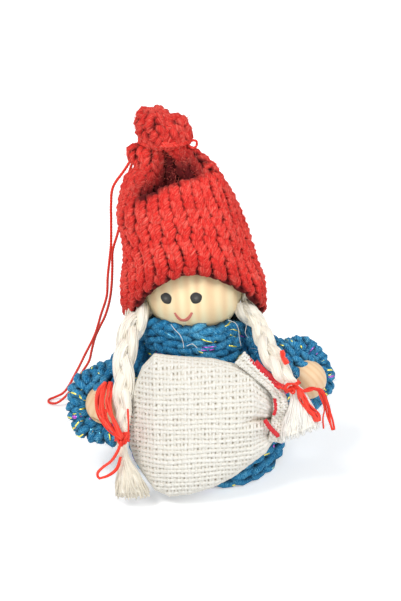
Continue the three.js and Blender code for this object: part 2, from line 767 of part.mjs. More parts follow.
// Floss left over from the ties: loops and tails, as offsets from the tie.
const BOWS = {
  left: {
    loop: [
      [-1.6, -2.3, 0.2],
      [-3.5, -1.7, 2],
      [-5.4, -0.6, 4.6],
      [-6.3, 0.3, 7.4],
      [-5.6, 0.9, 10.3],
      [-4.6, 1, 11.8],
    ],
    loopRadius: 0.9,
    tail: [
      [-0.6, -3.4, -0.5],
      [-2.2, -3.9, -3.2],
      [-4, -4.3, -5.6],
      [-5.6, -4.4, -8.4],
      [-5.6, -4.4, -10.6],
      [-3.9, -4.8, -10.6],
      [-2.7, -5, -9],
    ],
    tailRadius: 0.6,
  },
  right: {
    loop: [
      [0.8, -3.6, -0.3],
      [1.5, -4.7, -2],
      [2.3, -5.4, -4],
      [3.6, -5.9, -5.8],
      [4.8, -6.1, -7.2],
    ],
    loopRadius: 0.9,
    tail: [
      [1.6, -1.6, 0.6],
      [3.6, -1.2, 1.3],
      [5.6, -0.9, 0],
      [7, -0.9, -2.4],
      [7.9, -1.3, -6.4],
      [8.4, -1.8, -11],
    ],
    tailRadius: 0.5,
  },
};

function bowPiece(braid, points, radius) {
  const places = points.map(([x, y, z]) => tiePoint(braid).add(v(x, y, z)));
  return tube(places, radius, 6, 12);
}

// Sack. Its cloth lies on a plane that leans back against the dress.

const sackRise = SACK_TOP - SACK_BOTTOM;
const sackFront = (height) => {
  const belly = SACK_BELLY * SACK_TOP;
  const low = dressRadius(belly) + SACK_OFF_BELLY;
  const high = dressRadius(SACK_TOP) + SACK_OFF_TOP;
  return -lerp(low, high, (height - belly) / (SACK_TOP - belly));
};
const sackSlope = Math.atan2(sackFront(SACK_TOP) - sackFront(SACK_BOTTOM), sackRise);
const sackUp = v(0, Math.sin(sackSlope), Math.cos(sackSlope));
const sackOut = v(0, -Math.cos(sackSlope), Math.sin(sackSlope));

// Share of the width from left to neck, lowest and highest point as shares of the height,
// and thickness as a share of the fullest.
const SACK_OUTLINE = [
  [0, 0.38, 0.6, 0.06],
  [0.04, 0.28, 0.8, 0.22],
  [0.1, 0.19, 0.93, 0.46],
  [0.18, 0.08, 1.02, 0.72],
  [0.28, 0.03, 1.01, 0.88],
  [0.42, 0.04, 1, 0.98],
  [0.58, 0.09, 0.99, 1],
  [0.73, 0.17, 0.95, 0.94],
  [0.86, 0.27, 0.89, 0.8],
  [0.95, 0.33, 0.81, 0.56],
  [1, 0.4, 0.73, 0.28],
];

function sackRing(share, inset, sides) {
  const [low, high, full] = along(SACK_OUTLINE, share);
  const half = Math.max(((high - low) / 2) * sackRise - inset, 0.2);
  const thick = Math.max(full * SACK_THICK - inset, 0.12);
  const height = SACK_BOTTOM + ((low + high) / 2) * sackRise;
  const x = lerp(SACK_LEFT, SACK_RIGHT, share);
  const middle = v(x, sackFront(height), height).addScaledVector(sackOut, 0.55 * full * SACK_THICK);
  return Array.from({ length: sides }, (_, k) => {
    const angle = (2 * Math.PI * k) / sides;
    const rise = Math.sign(Math.sin(angle)) * Math.abs(Math.sin(angle)) ** 0.85;
    return middle
      .clone()
      .addScaledVector(sackUp, half * rise)
      .addScaledVector(sackOut, thick * Math.cos(angle));
  });
}

const sackNeck = v(SACK_RIGHT, sackFront(SACK_NECK_HEIGHT) - SACK_NECK_FRONT, SACK_NECK_HEIGHT);

function neckRing(x, radius, sides) {
  const at = v(sackNeck.x + x, sackNeck.y, sackNeck.z);
  return Array.from({ length: sides }, (_, k) => {
    const angle = (2 * Math.PI * k) / sides;
    return at
      .clone()
      .addScaledVector(sackUp, radius * Math.sin(angle))
      .addScaledVector(sackOut, radius * Math.cos(angle));
  });
}

const SACK_SHARES = SACK_OUTLINE.map(([share]) => share);

function sackBag() {
  const sides = 24;
  const outside = SACK_SHARES.map((share) => sackRing(share, 0, sides));
  const inside = SACK_SHARES.slice(3).map((share) => sackRing(share, SACK_CLOTH, sides));
  const bore = SACK_NECK - SACK_CLOTH;
  return skin([
    ...outside,
    neckRing(0.6, SACK_NECK, sides),
    neckRing(NECK_LENGTH, SACK_NECK, sides),
    neckRing(NECK_LENGTH, bore, sides),
    neckRing(0.2, bore, sides),
    ...inside.reverse(),
  ]);
}

function sackStuffing() {
  const inset = SACK_CLOTH + GAP;
  return skin(SACK_SHARES.slice(4, -1).map((share) => sackRing(share, inset, 20)));
}

// The mouth's cloth beyond the cord, fanned out from the neck. Each hem point is an offset
// from the neck's end.
const RUFFLE_HEM = [
  [-10, 4, 15.1],
  [-5.3, 3.4, 11.9],
  [-2, 2.3, 8.6],
  [0.6, 1.4, 5.2],
  [1.6, 0.2, 1.6],
  [1, -1.2, -2.3],
  [-1.2, -2.2, -5.1],
];

function sackRuffle() {
  const end = v(sackNeck.x + NECK_LENGTH, sackNeck.y, sackNeck.z);
  const rows = RUFFLE_HEM.map(([x, y, z], i) => {
    const hem = end.clone().add(v(x, y, z));
    const spoke = v(0, y, z).normalize();
    const wave = (i % 2 ? -1 : 1) * RUFFLE_WAVE;
    const root = end
      .clone()
      .addScaledVector(ACROSS, -RUFFLE_CLOTH)
      .addScaledVector(spoke, SACK_NECK - SACK_CLOTH / 2);
    const bend = end.clone().addScaledVector(ACROSS, GAP).addScaledVector(spoke, 2.2 * SACK_NECK);
    const middle = bend.clone().lerp(hem, 0.5).add(v(0, RUFFLE_WAVE + wave, 0));
    return [root, bend, middle, hem];
  });
  return slab(rows, v(0, RUFFLE_CLOTH / 2, 0));
}

// One piece of cloth: the filled bag, its neck and the ruffle past the cord.
const sackCloth = () => join([sackBag(), sackRuffle()]);

function sackCord() {
  const steps = 18;
  const reach = SACK_NECK + GAP + CORD_RADIUS;
  const rings = Array.from({ length: steps }, (_, k) => {
    const angle = (2 * Math.PI * k) / steps;
    const out = sackUp.clone().multiplyScalar(Math.sin(angle)).addScaledVector(sackOut, Math.cos(angle));
    const at = v(sackNeck.x + CORD_PLACE, sackNeck.y, sackNeck.z).addScaledVector(out, reach);
    return Array.from({ length: 8 }, (_, n) => {
      const around = (2 * Math.PI * n) / 8;
      return at
        .clone()
        .addScaledVector(out, CORD_RADIUS * Math.cos(around))
        .addScaledVector(ACROSS, CORD_RADIUS * Math.sin(around));
    });
  });
  const front = v(sackNeck.x + CORD_PLACE, sackNeck.y, sackNeck.z).addScaledVector(sackOut, reach);
  const tail = tube(
    [v(0, 0, 0), v(-1.2, -2.3, -0.8), v(-0.6, -3.2, -2.6), v(0.8, -3.2, -4.6)].map((p) => p.add(front)),
    CORD_RADIUS,
    8,
    8,
  );
  return join([ringSkin(rings), tail]);
}

// The hanging loop, from the hat's neck down behind the left arm to the floor and back.
const THREAD_POINTS = [
  [-17.2, 2.6, 82.3],
  [-20.2, 3.6, 77.2],
  [-23.6, 5, 71.9],
  [-24.3, 6, 67.1],
  [-24.5, 7, 62.9],
  [-24.9, 8.5, 55.4],
  [-25.5, 10, 51.1],
  [-26.3, 11.5, 45.4],
  [-26.9, 13, 39.3],
  [-28.9, 15.5, 32.7],
  [-31, 18, 25.7],
  [-34.4, 20.5, 18.1],
  [-37.3, 23, 11.6],
  [-41.6, 26, 3.4],
  [-44.6, 27.6, 0.9],
  [-46.2, 26.6, 0.6],
  [-45.9, 24.6, 0.7],
  [-43.6, 23.4, 1.2],
  [-40.2, 23.8, 4],
  [-35.6, 23.9, 11.3],
  [-33.6, 23.4, 14.8],
  [-32.6, 22.4, 18.7],
  [-31.4, 21.4, 23.1],
  [-29.8, 20.2, 27],
  [-28.1, 18.6, 30.9],
  [-26.6, 16.8, 36],
  [-25.7, 15.2, 41.3],
  [-25.2, 13.9, 47.4],
  [-24.9, 12.9, 52.1],
  [-23.4, 12, 57.2],
  [-21.6, 11, 64],
  [-20.4, 9.6, 71],
  [-18.8, 7.2, 77.5],
  [-16, 4.4, 82.5],
];

function hangingLoop() {
  return tube(THREAD_POINTS.map((p) => v(...p)), THREAD_RADIUS, 8, 70);
}

// Assembly

const doll = new THREE.Group();

function piece(name, geometry, colour, roughness = 0.9) {
  const material = new THREE.MeshStandardMaterial({ color: COLOURS[colour], roughness, metalness: 0 });
  const mesh = new THREE.Mesh(geometry, material);
  mesh.name = name;
  doll.add(mesh);
  return mesh;
}

piece("body_core", bodyCore(), "wood", 0.6);
piece("dress", dress(), "teal");
piece("arm_wire_centre", centreWire(), "wire", 0.5);
piece("head_bead", headBead(), "wood", 0.5);
piece("eye_left", eye(-1), "ink", 0.4);
piece("eye_right", eye(1), "ink", 0.4);
piece("mouth", mouth(), "lip", 0.5);
piece("hair_hank", hairHank(), "cream");
piece("hat", hat(), "red");
piece("hat_tie", hatTie(), "red");
piece("hanging_loop", hangingLoop(), "red");
for (const arm of ARMS) {
  piece(`sleeve_${arm.name}`, sleeve(arm), "teal");
  piece(`arm_wire_${arm.name}`, armWire(arm), "wire", 0.5);
  piece(`hand_bead_${arm.name}`, handBead(arm), "wood", 0.5);
}
for (const braid of BRAIDS) {
  for (const number of [0, 1, 2]) {
    piece(`braid_${braid.name}_strand_${number + 1}`, braidStrand(braid, number), "cream");
  }
  piece(`tie_${braid.name}`, tie(braid), "floss");
  piece(`tassel_${braid.name}`, tassel(braid), "cream");
}
piece("sack_cloth", sackCloth(), "cloth");
piece("sack_stuffing", sackStuffing(), "wadding");
piece("sack_cord", sackCord(), "floss");

export default doll;
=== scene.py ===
# The dressed doll: yarn knitted loop by loop, woven sack, turned beads and braided hair.
# Lengths in this file are in millimetres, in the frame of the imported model, and become
# metres where a mesh is made, unless a heading says otherwise. The doll faces -Y. Left and
# right are those of someone who looks at its face.

import bpy
import math
import numpy as np
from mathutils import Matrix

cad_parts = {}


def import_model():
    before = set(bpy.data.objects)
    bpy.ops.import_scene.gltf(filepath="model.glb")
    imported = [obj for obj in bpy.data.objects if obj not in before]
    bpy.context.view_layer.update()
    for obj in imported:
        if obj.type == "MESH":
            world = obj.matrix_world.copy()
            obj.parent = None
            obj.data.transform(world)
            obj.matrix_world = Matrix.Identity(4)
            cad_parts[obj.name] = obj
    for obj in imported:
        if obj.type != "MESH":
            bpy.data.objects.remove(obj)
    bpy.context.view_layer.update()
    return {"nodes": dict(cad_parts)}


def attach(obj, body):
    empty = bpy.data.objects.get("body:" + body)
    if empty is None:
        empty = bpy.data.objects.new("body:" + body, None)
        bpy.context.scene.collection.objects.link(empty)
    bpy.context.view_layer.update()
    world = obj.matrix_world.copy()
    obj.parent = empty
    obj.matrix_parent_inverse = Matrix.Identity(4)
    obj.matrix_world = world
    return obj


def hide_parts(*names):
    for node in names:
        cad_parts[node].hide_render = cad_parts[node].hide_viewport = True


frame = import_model()

MM = 0.001
TURN = 2 * math.pi
LOWEST = 0.1
UP = np.array([0.0, 0.0, 1.0])
ACROSS = np.array([1.0, 0.0, 0.0])
BACK = np.array([0.0, 1.0, 0.0])


# Camera, at the photograph's viewing angle, in metres and degrees

CAMERA_PLACE = (-0.0018, -0.251, 0.150)
CAMERA_TILT = 67
LENS = 64.09


def placed(name, data, place=(0, 0, 0), turn=(0, 0, 0)):
    """An object of the scene that shows this data."""
    made = bpy.data.objects.new(name, data)
    made.location = place
    made.rotation_euler = turn
    bpy.context.scene.collection.objects.link(made)
    return made


def camera():
    data = bpy.data.cameras.new("camera")
    data.sensor_fit = "VERTICAL"
    data.sensor_height = 36
    data.lens = LENS
    data.clip_start = 0.01
    turn = (math.radians(CAMERA_TILT), 0, 0)
    bpy.context.scene.camera = placed("camera", data, CAMERA_PLACE, turn)


camera()


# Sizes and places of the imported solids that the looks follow. The head shows a little lower
# than its solid.

LEAN = -0.072
DRESS_HEIGHT = 42.2
HEM_RADIUS = 21.2
COLLAR_RADIUS = 12.5
HEAD = np.array([-3.554, 0.0, 49.367])
HEAD_RADIUS = 12.5
BALL = HEAD - np.array([0.0, 0.0, 1.8])
HEAD_BORE = 2.4
FACE_TURN = -14.5
FACE_NOD = 6.2
FACE_ROLL = math.radians(6.4)
HAIR_THICK = 1.6
BRIM_HALF = 18.4
BRIM_LOW = 41.367
BRIM_ARCH = 14.7
BRIM_CURVE = 1.35
BRIM_TURN = 4
NECK = np.array([-10.454, 0.0, 83.467])
HAND_RADIUS = 5
HAND_BORE = 1.1
CUFF_ROLL = 2.6

ARMS = {
    "left": {
        "side": -1,
        "shoulder": np.array([-15.747, -1.0, 34.5]),
        "cuff": np.array([-25.25, -12.8, 20.6]),
        "facing": np.array([-0.1, -0.88, 0.46]),
        "cuff_radius": 10.2,
        "slack": 0.0,
    },
    "right": {
        "side": 1,
        "shoulder": np.array([10.779, -1.0, 34.5]),
        "cuff": np.array([23.28, -9.3, 25.5]),
        "facing": np.array([0.64, -0.66, 0.4]),
        "cuff_radius": 10.8,
        "slack": 1.1,
    },
}

# Each braid's bends are shares of its length and offsets, its flare is the tassel's half width
# and depth at its end, and its half widths go down its length. Its pale is the range its tassel's
# hairs are toned from, at random within it: the right tassel's is set high as painted light and the
# left's low as painted shade.
BRAIDS = {
    "left": {
        "root": np.array([-16.354, -3.0, 43.867]),
        "tie": np.array([-20.75, -25.4, 18.4]),
        "bends": [(0.12, -1.1, -0.9, 0.7), (0.4, -2.2, -2.2, 2.3), (0.68, -1.2, -2.5, 0.8)],
        "tassel": (2.5, -3.4, -15.2),
        "flare": (4.6, 2.3),
        "opens": 0.3,
        "pale": (0.0, 0.4),
        "half": (3.4, 3.0, 2.8, 2.5, 1.5, 1.4),
    },
    "right": {
        "root": np.array([9.246, -3.0, 43.867]),
        "tie": np.array([20.28, -22.1, 30.4]),
        "bends": [
            (0.08, -0.1, -0.3, -0.2), (0.22, 1.3, 0.2, -1.4), (0.45, 0.1, -2.9, -0.1), (0.7, -0.4, -4.0, 1),
        ],
        "tassel": (2.1, -3, -11.7),
        "flare": (5.6, 2.6),
        "opens": 0.1,
        "pale": (1.1, 1.4),
        "half": (3.2, 2.2, 2.4, 2.6, 2.1, 1.8),
    },
}


# Curves and tubes

def unit(vectors):
    vectors = np.asarray(vectors, float)
    return vectors / np.maximum(np.linalg.norm(vectors, axis=-1, keepdims=True), 1e-9)


def lerp(a, b, share):
    return a + (b - a) * share


def smoothstep(value, low=0.0, high=1.0):
    share = np.clip((np.asarray(value, float) - low) / (high - low), 0, 1)
    return share * share * (3 - 2 * share)


def bump(value, middle, width):
    return np.exp(-(((value - middle) / width) ** 2))


def shifted(points, across, first, upward, second):
    """Points moved by two amounts along two directions."""
    return points + across[..., None] * first + upward[..., None] * second


def circle(count):
    return np.linspace(0, TURN, count, endpoint=False)


def around(centre, radius, ring, first, second):
    """Points about a centre, at a radius and an angle between two directions."""
    return shifted(centre, radius * np.cos(ring), first, radius * np.sin(ring), second)


def read(places, table, at):
    """Each column of a table whose rows stand at places, read between its rows."""
    return [np.interp(at, places, column) for column in table.T]


def columns(table, at):
    """A table's further columns, read at places along its first one."""
    return read(table[:, 0], table[:, 1:], at)


def along_line(line, share):
    return np.stack(read(np.linspace(0, 1, len(line)), line, share), axis=-1)


def run_along(paths):
    """The length of each path up to each of its points."""
    steps = np.linalg.norm(np.diff(paths, axis=-2), axis=-1)
    return np.concatenate([np.zeros_like(steps[..., :1]), np.cumsum(steps, axis=-1)], axis=-1)


def resample(path, count):
    run = run_along(path)
    return np.stack(read(run, path, np.linspace(0, run[-1], count)), axis=-1)


def curve(points, count):
    """Evenly spaced points on the centripetal Catmull-Rom curve through the points given."""
    p = np.asarray(points, float)
    p = np.vstack([2 * p[0] - p[1], p, 2 * p[-1] - p[-2]])
    gap = np.sqrt(np.linalg.norm(np.diff(p, axis=0), axis=1))
    share = np.linspace(0, 1, 24, endpoint=False)[:, None]
    dense = []
    for i in range(1, len(p) - 2):
        before, here, after, beyond = p[i - 1 : i + 3]
        g0, g1, g2 = gap[i - 1 : i + 2]
        t1 = g1 * ((here - before) / g0 - (after - before) / (g0 + g1) + (after - here) / g1)
        t2 = g1 * ((after - here) / g1 - (beyond - here) / (g1 + g2) + (beyond - after) / g2)
        c2 = 3 * (after - here) - 2 * t1 - t2
        c3 = 2 * (here - after) + t1 + t2
        dense.append(here + t1 * share + c2 * share**2 + c3 * share**3)
    dense.append(p[-2:-1])
    return resample(np.vstack(dense), count)


def tangents(paths, closed):
    if closed:
        return unit(np.roll(paths, -1, axis=1) - np.roll(paths, 1, axis=1))
    return unit(np.gradient(paths, axis=1))


def carried_sides(direction):
    """A sideways direction along each path that turns as little as it can."""
    side = np.empty_like(direction)
    first = np.where(np.abs(direction[:, 0, 2:]) < 0.9, UP, ACROSS)
    for k in range(direction.shape[1]):
        last = first if k == 0 else side[:, k - 1]
        along = np.sum(last * direction[:, k], axis=-1, keepdims=True)
        side[:, k] = unit(last - along * direction[:, k])
    return side


# The grain of each yarn in a skein starts this far from the last one's, so none look alike.
GRAIN_STEP = 7.3


class Skein:
    """Yarns and sheets gathered into one mesh."""

    def __init__(self):
        self.points = []
        self.quads = []
        self.grain = []
        self.shade = []
        self.open = []
        self.count = 0

    def add(self, points, quads, grain, shade, open_to_light=1.0):
        self.points.append(points.reshape(-1, 3))
        self.quads.append(quads.reshape(-1, 4) + self.count)
        self.grain.append(grain.reshape(-1, 3))
        self.shade.append(np.broadcast_to(shade, points.shape[:-1]).reshape(-1))
        self.open.append(np.broadcast_to(open_to_light, points.shape[:-1]).reshape(-1))
        self.count += self.points[-1].shape[0]

    def tubes(self, paths, radius, sides=6, hint=None, closed=False, shade=0.5, twist=None, front=None):
        """Round tubes along paths of one length. A twist is (plies, depth, pitch). Where front is given,
        the sides of each section away from its outer side get painted shade, deeper where front is low."""
        paths = np.asarray(paths, float)
        if paths.ndim == 2:
            paths = paths[None]
        n, m = paths.shape[:2]
        direction = tangents(paths, closed)
        if hint is None:
            side = carried_sides(direction)
        else:
            side = unit(hint - np.sum(hint * direction, axis=-1, keepdims=True) * direction)
        other = np.cross(direction, side)
        radius = np.broadcast_to(radius, (n, m))[..., None]
        run = run_along(paths)
        angle = np.arange(sides) * 2 * math.pi / sides
        swell, spin = 1.0, 0.0
        if twist:
            plies, deep, pitch = twist
            whole = run[:, -1:] + (np.linalg.norm(paths[:, :1] - paths[:, -1:], axis=-1) if closed else 0)
            turns = np.round(whole / pitch) / whole if closed else 1 / pitch
            spin = (TURN * run * turns)[..., None]
            swell = 1 + deep * (np.abs(np.sin(plies * (angle - spin) / 2)) - 0.6)
        across, upward = radius * swell * np.cos(angle), radius * swell * np.sin(angle)
        points = shifted(paths[:, :, None], across, side[:, :, None], upward, other[:, :, None])
        turned = angle - spin
        section = np.broadcast_arrays(run[..., None], radius * np.cos(turned), radius * np.sin(turned))
        grain = np.stack(section, axis=-1) + (np.arange(n) * GRAIN_STEP)[:, None, None, None]
        index = np.arange(n * m * sides).reshape(n, m, sides)
        here = index if closed else index[:, :-1]
        ahead = np.roll(index, -1, axis=1) if closed else index[:, 1:]
        quads = [np.stack([here, np.roll(here, -1, 2), np.roll(ahead, -1, 2), ahead], axis=-1).reshape(-1, 4)]
        if not closed:
            for k in range(1, sides // 2):
                low, high = k - 1, sides - k
                quads.append(index[:, 0][:, [low, high % sides, high - 1, low + 1]])
                quads.append(index[:, -1][:, [low + 1, high - 1, high % sides, low]])
        # Painted shade: the sides of each tube are painted towards its finish's deep colour, the more so
        # where front is low.
        opened = 1.0
        if front is not None:
            opened = np.clip(1.12 * np.cos(angle) - 0.04, 0, 1) * np.broadcast_to(front, (n, m))[..., None]
        self.add(points, np.vstack(quads), grain, np.broadcast_to(shade, n)[:, None, None], opened)

    def sheet(self, grid, closed_across=False, closed_along=False, shade=0.5):
        """A sheet over a grid of points."""
        rows, columns = grid.shape[:2]
        index = np.arange(rows * columns).reshape(rows, columns)
        if closed_along:
            index = np.vstack([index, index[:1]])
        if closed_across:
            index = np.hstack([index, index[:, :1]])
        quads = np.stack([index[:-1, :-1], index[:-1, 1:], index[1:, 1:], index[1:, :-1]], axis=-1)
        self.add(grid, quads, grid, shade)

    def shell(self, surface, inset, columns, rows, low=0.0, high=1.0):
        """A closed sheet that follows a surface from the inside."""
        across, along = np.meshgrid(np.linspace(0, 1, columns, endpoint=False), np.linspace(low, high, rows))
        self.sheet(surface(across, along, inset), closed_across=True)

    def piece(self, name, body, material, slot, replaces=()):
        """The mesh as one object on its body. What rests on the floor lies flat on it."""
        points = np.vstack(self.points)
        points[:, 2] = np.maximum(points[:, 2], LOWEST)
        quads = np.vstack(self.quads)
        mesh = bpy.data.meshes.new(name)
        mesh.vertices.add(len(points))
        mesh.vertices.foreach_set("co", (points * MM).ravel())
        mesh.loops.add(quads.size)
        mesh.loops.foreach_set("vertex_index", quads.ravel().astype(np.int32))
        mesh.polygons.add(len(quads))
        mesh.polygons.foreach_set("loop_start", np.arange(0, quads.size, 4, dtype=np.int32))
        mesh.update(calc_edges=True)
        mesh.validate()
        mesh.polygons.foreach_set("use_smooth", np.ones(len(mesh.polygons), bool))
        # Each point's grain, tone and painted shade go to the mesh as attributes.
        for key, kind, field, values in (
            ("grain", "FLOAT_VECTOR", "vector", np.vstack(self.grain)),
            ("shade", "FLOAT", "value", np.concatenate(self.shade)),
            ("open", "FLOAT", "value", np.concatenate(self.open)),
        ):
            mesh.attributes.new(key, kind, "POINT").data.foreach_set(field, values.ravel())
        made = placed(name, mesh)
        mesh.materials.append(material)
        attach(made, body)
        if replaces:
            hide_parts(*replaces)
        return made


def lifted(surface, across, along, lift=0.0):
    """Points of a surface, moved out from it, and its outward directions."""
    step = 1e-3
    across, along = np.broadcast_arrays(np.asarray(across, float), np.asarray(along, float))
    sideways = surface(across + step, along) - surface(across - step, along)
    upward = surface(across, along + step) - surface(across, along - step)
    out = unit(np.cross(sideways, upward))
    return surface(across, along) + out * np.asarray(lift)[..., None], out


def knit(skein, surface, wales, rows, radius, depth, seed, swing, rise, twist, samples=16, closed=True,
         turned=False, uneven=0.05, open_at=None, belly=0.25, pinch=0.03):
    """Rows of knitted loops over a surface. Each row is one yarn, its loops hang in the row
    below, and the yarn swells by its belly between their ends. The pinch draws the two legs
    of a loop together. Turned knitting has its rows running up the surface."""
    rng = np.random.default_rng(seed)
    count = int(wales * samples) + (0 if closed else 1)
    place = np.arange(count) / samples
    phase = TURN * place
    number = np.arange(rows)[:, None]
    wobble = uneven * np.cumsum(rng.normal(size=(rows, count)), axis=1) / math.sqrt(samples)
    wobble = wobble - np.linspace(0, 1, count) * wobble[:, -1:] - wobble.mean(axis=1, keepdims=True)
    wobble = np.clip(wobble, -0.12, 0.12)
    across = (place + swing * np.sin(2 * phase) + pinch * np.sin(phase) + wobble) / wales
    along = (number + 0.5 - rise * np.cos(phase) + wobble) / rows
    first, second = (along, across) if turned else (across, along)
    second = np.clip(second, 0, 1)
    lift = np.broadcast_to(-depth * np.cos(2 * phase), along.shape)
    path, out = lifted(surface, first, second, lift)
    # Painted shade: the ends of each loop, which lie back, are painted darker, and the share given for each
    # place paints it darker still.
    front = 0.05 + 0.95 * smoothstep(lift / depth, -0.75, 0.75)
    if open_at:
        front = front * open_at(first, second)
    width = radius(first, second) if callable(radius) else radius
    width = width * (1 + belly * (np.abs(np.sin(phase)) - 0.6))
    tint = rng.uniform(0.44, 0.56, rows)
    skein.tubes(path, width, sides=10, hint=out, closed=closed, shade=tint, twist=twist, front=front)
    return path, out


def fuzz(skein, roots, out, rng, length=(0.5, 1.9), radius=0.024, lean=0.9, shade=(0.5, 1.0)):
    """Stray fibres that stand off a yarn, one at each root."""
    n = len(roots)
    points = 5
    aim = unit(out + lean * rng.normal(size=(n, 3)))
    bend = np.cross(aim, unit(rng.normal(size=(n, 3))))
    reach = rng.uniform(*length, n)[:, None, None]
    share = np.linspace(0, 1, points)[None, :, None]
    curl = rng.uniform(0.15, 0.7, n)[:, None, None]
    paths = roots[:, None] + reach * (share * aim[:, None] + curl * share**2 * bend[:, None])
    width = radius * (1 - 0.6 * np.linspace(0, 1, points))
    skein.tubes(paths, width, sides=4, shade=rng.uniform(*shade, n))


def surface_fuzz(skein, surface, count, seed, lift, **kind):
    rng = np.random.default_rng(seed)
    across, along = rng.uniform(0, 1, count), rng.uniform(0, 1, count)
    roots, out = lifted(surface, across, along, np.full(count, lift))
    fuzz(skein, roots, out, rng, **kind)


# Materials

def linear(red, green, blue):
    def one(value):
        value /= 255
        return value / 12.92 if value <= 0.04045 else ((value + 0.055) / 1.055) ** 2.4

    return (one(red), one(green), one(blue), 1)


def node(tree, kind, inputs=(), **settings):
    """A shader node with its settings, and its inputs linked or set."""
    made = tree.nodes.new("ShaderNode" + kind)
    for key, value in settings.items():
        setattr(made, key, value)
    for socket, value in dict(inputs).items():
        if isinstance(value, bpy.types.NodeSocket):
            tree.links.new(value, made.inputs[socket])
        else:
            made.inputs[socket].default_value = value
    return made


class Finish:
    """A material and its nodes."""

    def __init__(self, name, **shader):
        self.material = bpy.data.materials.new(name)
        self.material.use_nodes = True
        self.tree = self.material.node_tree
        self.tree.nodes.clear()
        sockets = {key.replace("_", " "): value for key, value in shader.items()}
        self.shader = self.node("BsdfPrincipled", sockets)
        self.output = self.node("OutputMaterial", {0: self.shader.outputs[0]})

    def node(self, kind, inputs=(), **settings):
        return node(self.tree, kind, inputs, **settings)

    def ramp(self, value, stops):
        """A colour ramp. A stop is its place and its red, green and blue out of 255."""
        made = self.node("ValToRGB", {"Fac": value})
        elements = made.color_ramp.elements
        (low, *low_colour), *between, (high, *high_colour) = stops
        elements[0].position, elements[0].color = low, linear(*low_colour)
        elements[1].position, elements[1].color = high, linear(*high_colour)
        for place, *colour in between:
            elements.new(place).color = linear(*colour)
        return made.outputs["Color"]

    def noise(self, vector, scale, detail=2.0, roughness=0.5):
        inputs = {"Vector": vector, "Scale": scale, "Detail": detail, "Roughness": roughness}
        return self.node("TexNoise", inputs).outputs["Fac"]

    def stretched(self, vector, scale):
        return self.node("Mapping", {"Vector": vector, "Scale": scale}).outputs["Vector"]

    def attribute(self, name, output):
        return self.node("Attribute", attribute_name=name).outputs[output]

    def maths(self, operation, *values):
        return self.node("Math", dict(enumerate(values)), operation=operation).outputs[0]

    def total(self, *parts):
        """The sum of values, each multiplied by its weight."""
        total, *others = [self.maths("MULTIPLY", value, weight) for value, weight in parts]
        for part in others:
            total = self.maths("ADD", total, part)
        return total

    def bump(self, height, distance):
        made = self.node("Bump", {"Height": height, "Distance": distance * MM})
        self.tree.links.new(made.outputs["Normal"], self.shader.inputs["Normal"])

    def colour(self, socket):
        self.tree.links.new(socket, self.shader.inputs["Base Color"])


def fibre_finish(name, stops, deep=None, fine=(0.5, 6, 6), bump=0.12, sheen=0.35, sheen_tint=(1, 1, 1, 1),
                 mottle=0.25, roughness=0.92):
    """Spun fibre: streaks that run with the twist, a soft sheen, uneven dye, and a deep colour
    that is painted shade, mixed in where the mesh is painted darker between its loops."""
    finish = Finish(
        name, Roughness=roughness, Sheen_Weight=sheen, Sheen_Roughness=0.45, Sheen_Tint=sheen_tint,
        Specular_IOR_Level=0.25,
    )
    grain = finish.attribute("grain", "Vector")
    streak = finish.noise(finish.stretched(grain, fine), 1.0, 3.0, 0.6)
    patch = finish.noise(grain, 0.35, 1.0)
    uneven = finish.maths("MULTIPLY_ADD", patch, mottle, 0.5 - 0.5 * mottle)
    total = finish.total((streak, 0.45), (uneven, 0.25), (finish.attribute("shade", "Fac"), 0.3))
    colour = finish.ramp(total, stops)
    # The deep colour is painted shade, mixed in as far as each point is painted darker.
    if deep:
        inputs = {"Fac": finish.attribute("open", "Fac"), "Color1": deep, "Color2": colour}
        colour = finish.node("MixRGB", inputs).outputs["Color"]
    finish.colour(colour)
    finish.bump(streak, bump)
    return finish.material


# The deep colours below are painted shade between and under loops and threads.
RED_KNIT = fibre_finish(
    "red wool",
    [(0.41, 196, 26, 26), (0.5, 242, 56, 48), (0.6, 255, 134, 118)],
    deep=linear(70, 2, 10), sheen=0.2, sheen_tint=linear(255, 140, 125),
)
# Dark red for the shells inside the hat and the tuft: painted shade that shows between the loops.
RED_PAINTED_SHADE = fibre_finish(
    "red wool in painted shade", [(0.3, 90, 8, 10), (0.7, 150, 22, 20)], sheen=0.0,
)
RED_FLOSS = fibre_finish(
    "red floss",
    [(0.3, 214, 34, 26), (0.5, 246, 64, 48), (0.72, 255, 118, 98)],
    fine=(0.4, 14, 14), bump=0.04, sheen=0.25, sheen_tint=linear(255, 170, 150), roughness=0.6,
)
CORD_YARN = fibre_finish(
    "red cord",
    [(0.36, 176, 28, 42), (0.5, 214, 50, 58), (0.64, 240, 104, 104)],
    deep=linear(120, 16, 40), fine=(0.5, 8, 8), bump=0.05, sheen=0.2, sheen_tint=linear(255, 150, 150),
    roughness=0.8,
)
TEAL_KNIT = fibre_finish(
    "teal wool",
    [(0.41, 4, 52, 94), (0.5, 28, 130, 186), (0.59, 136, 216, 244)],
    deep=linear(2, 14, 30), sheen=0.25, sheen_tint=linear(130, 210, 245),
)
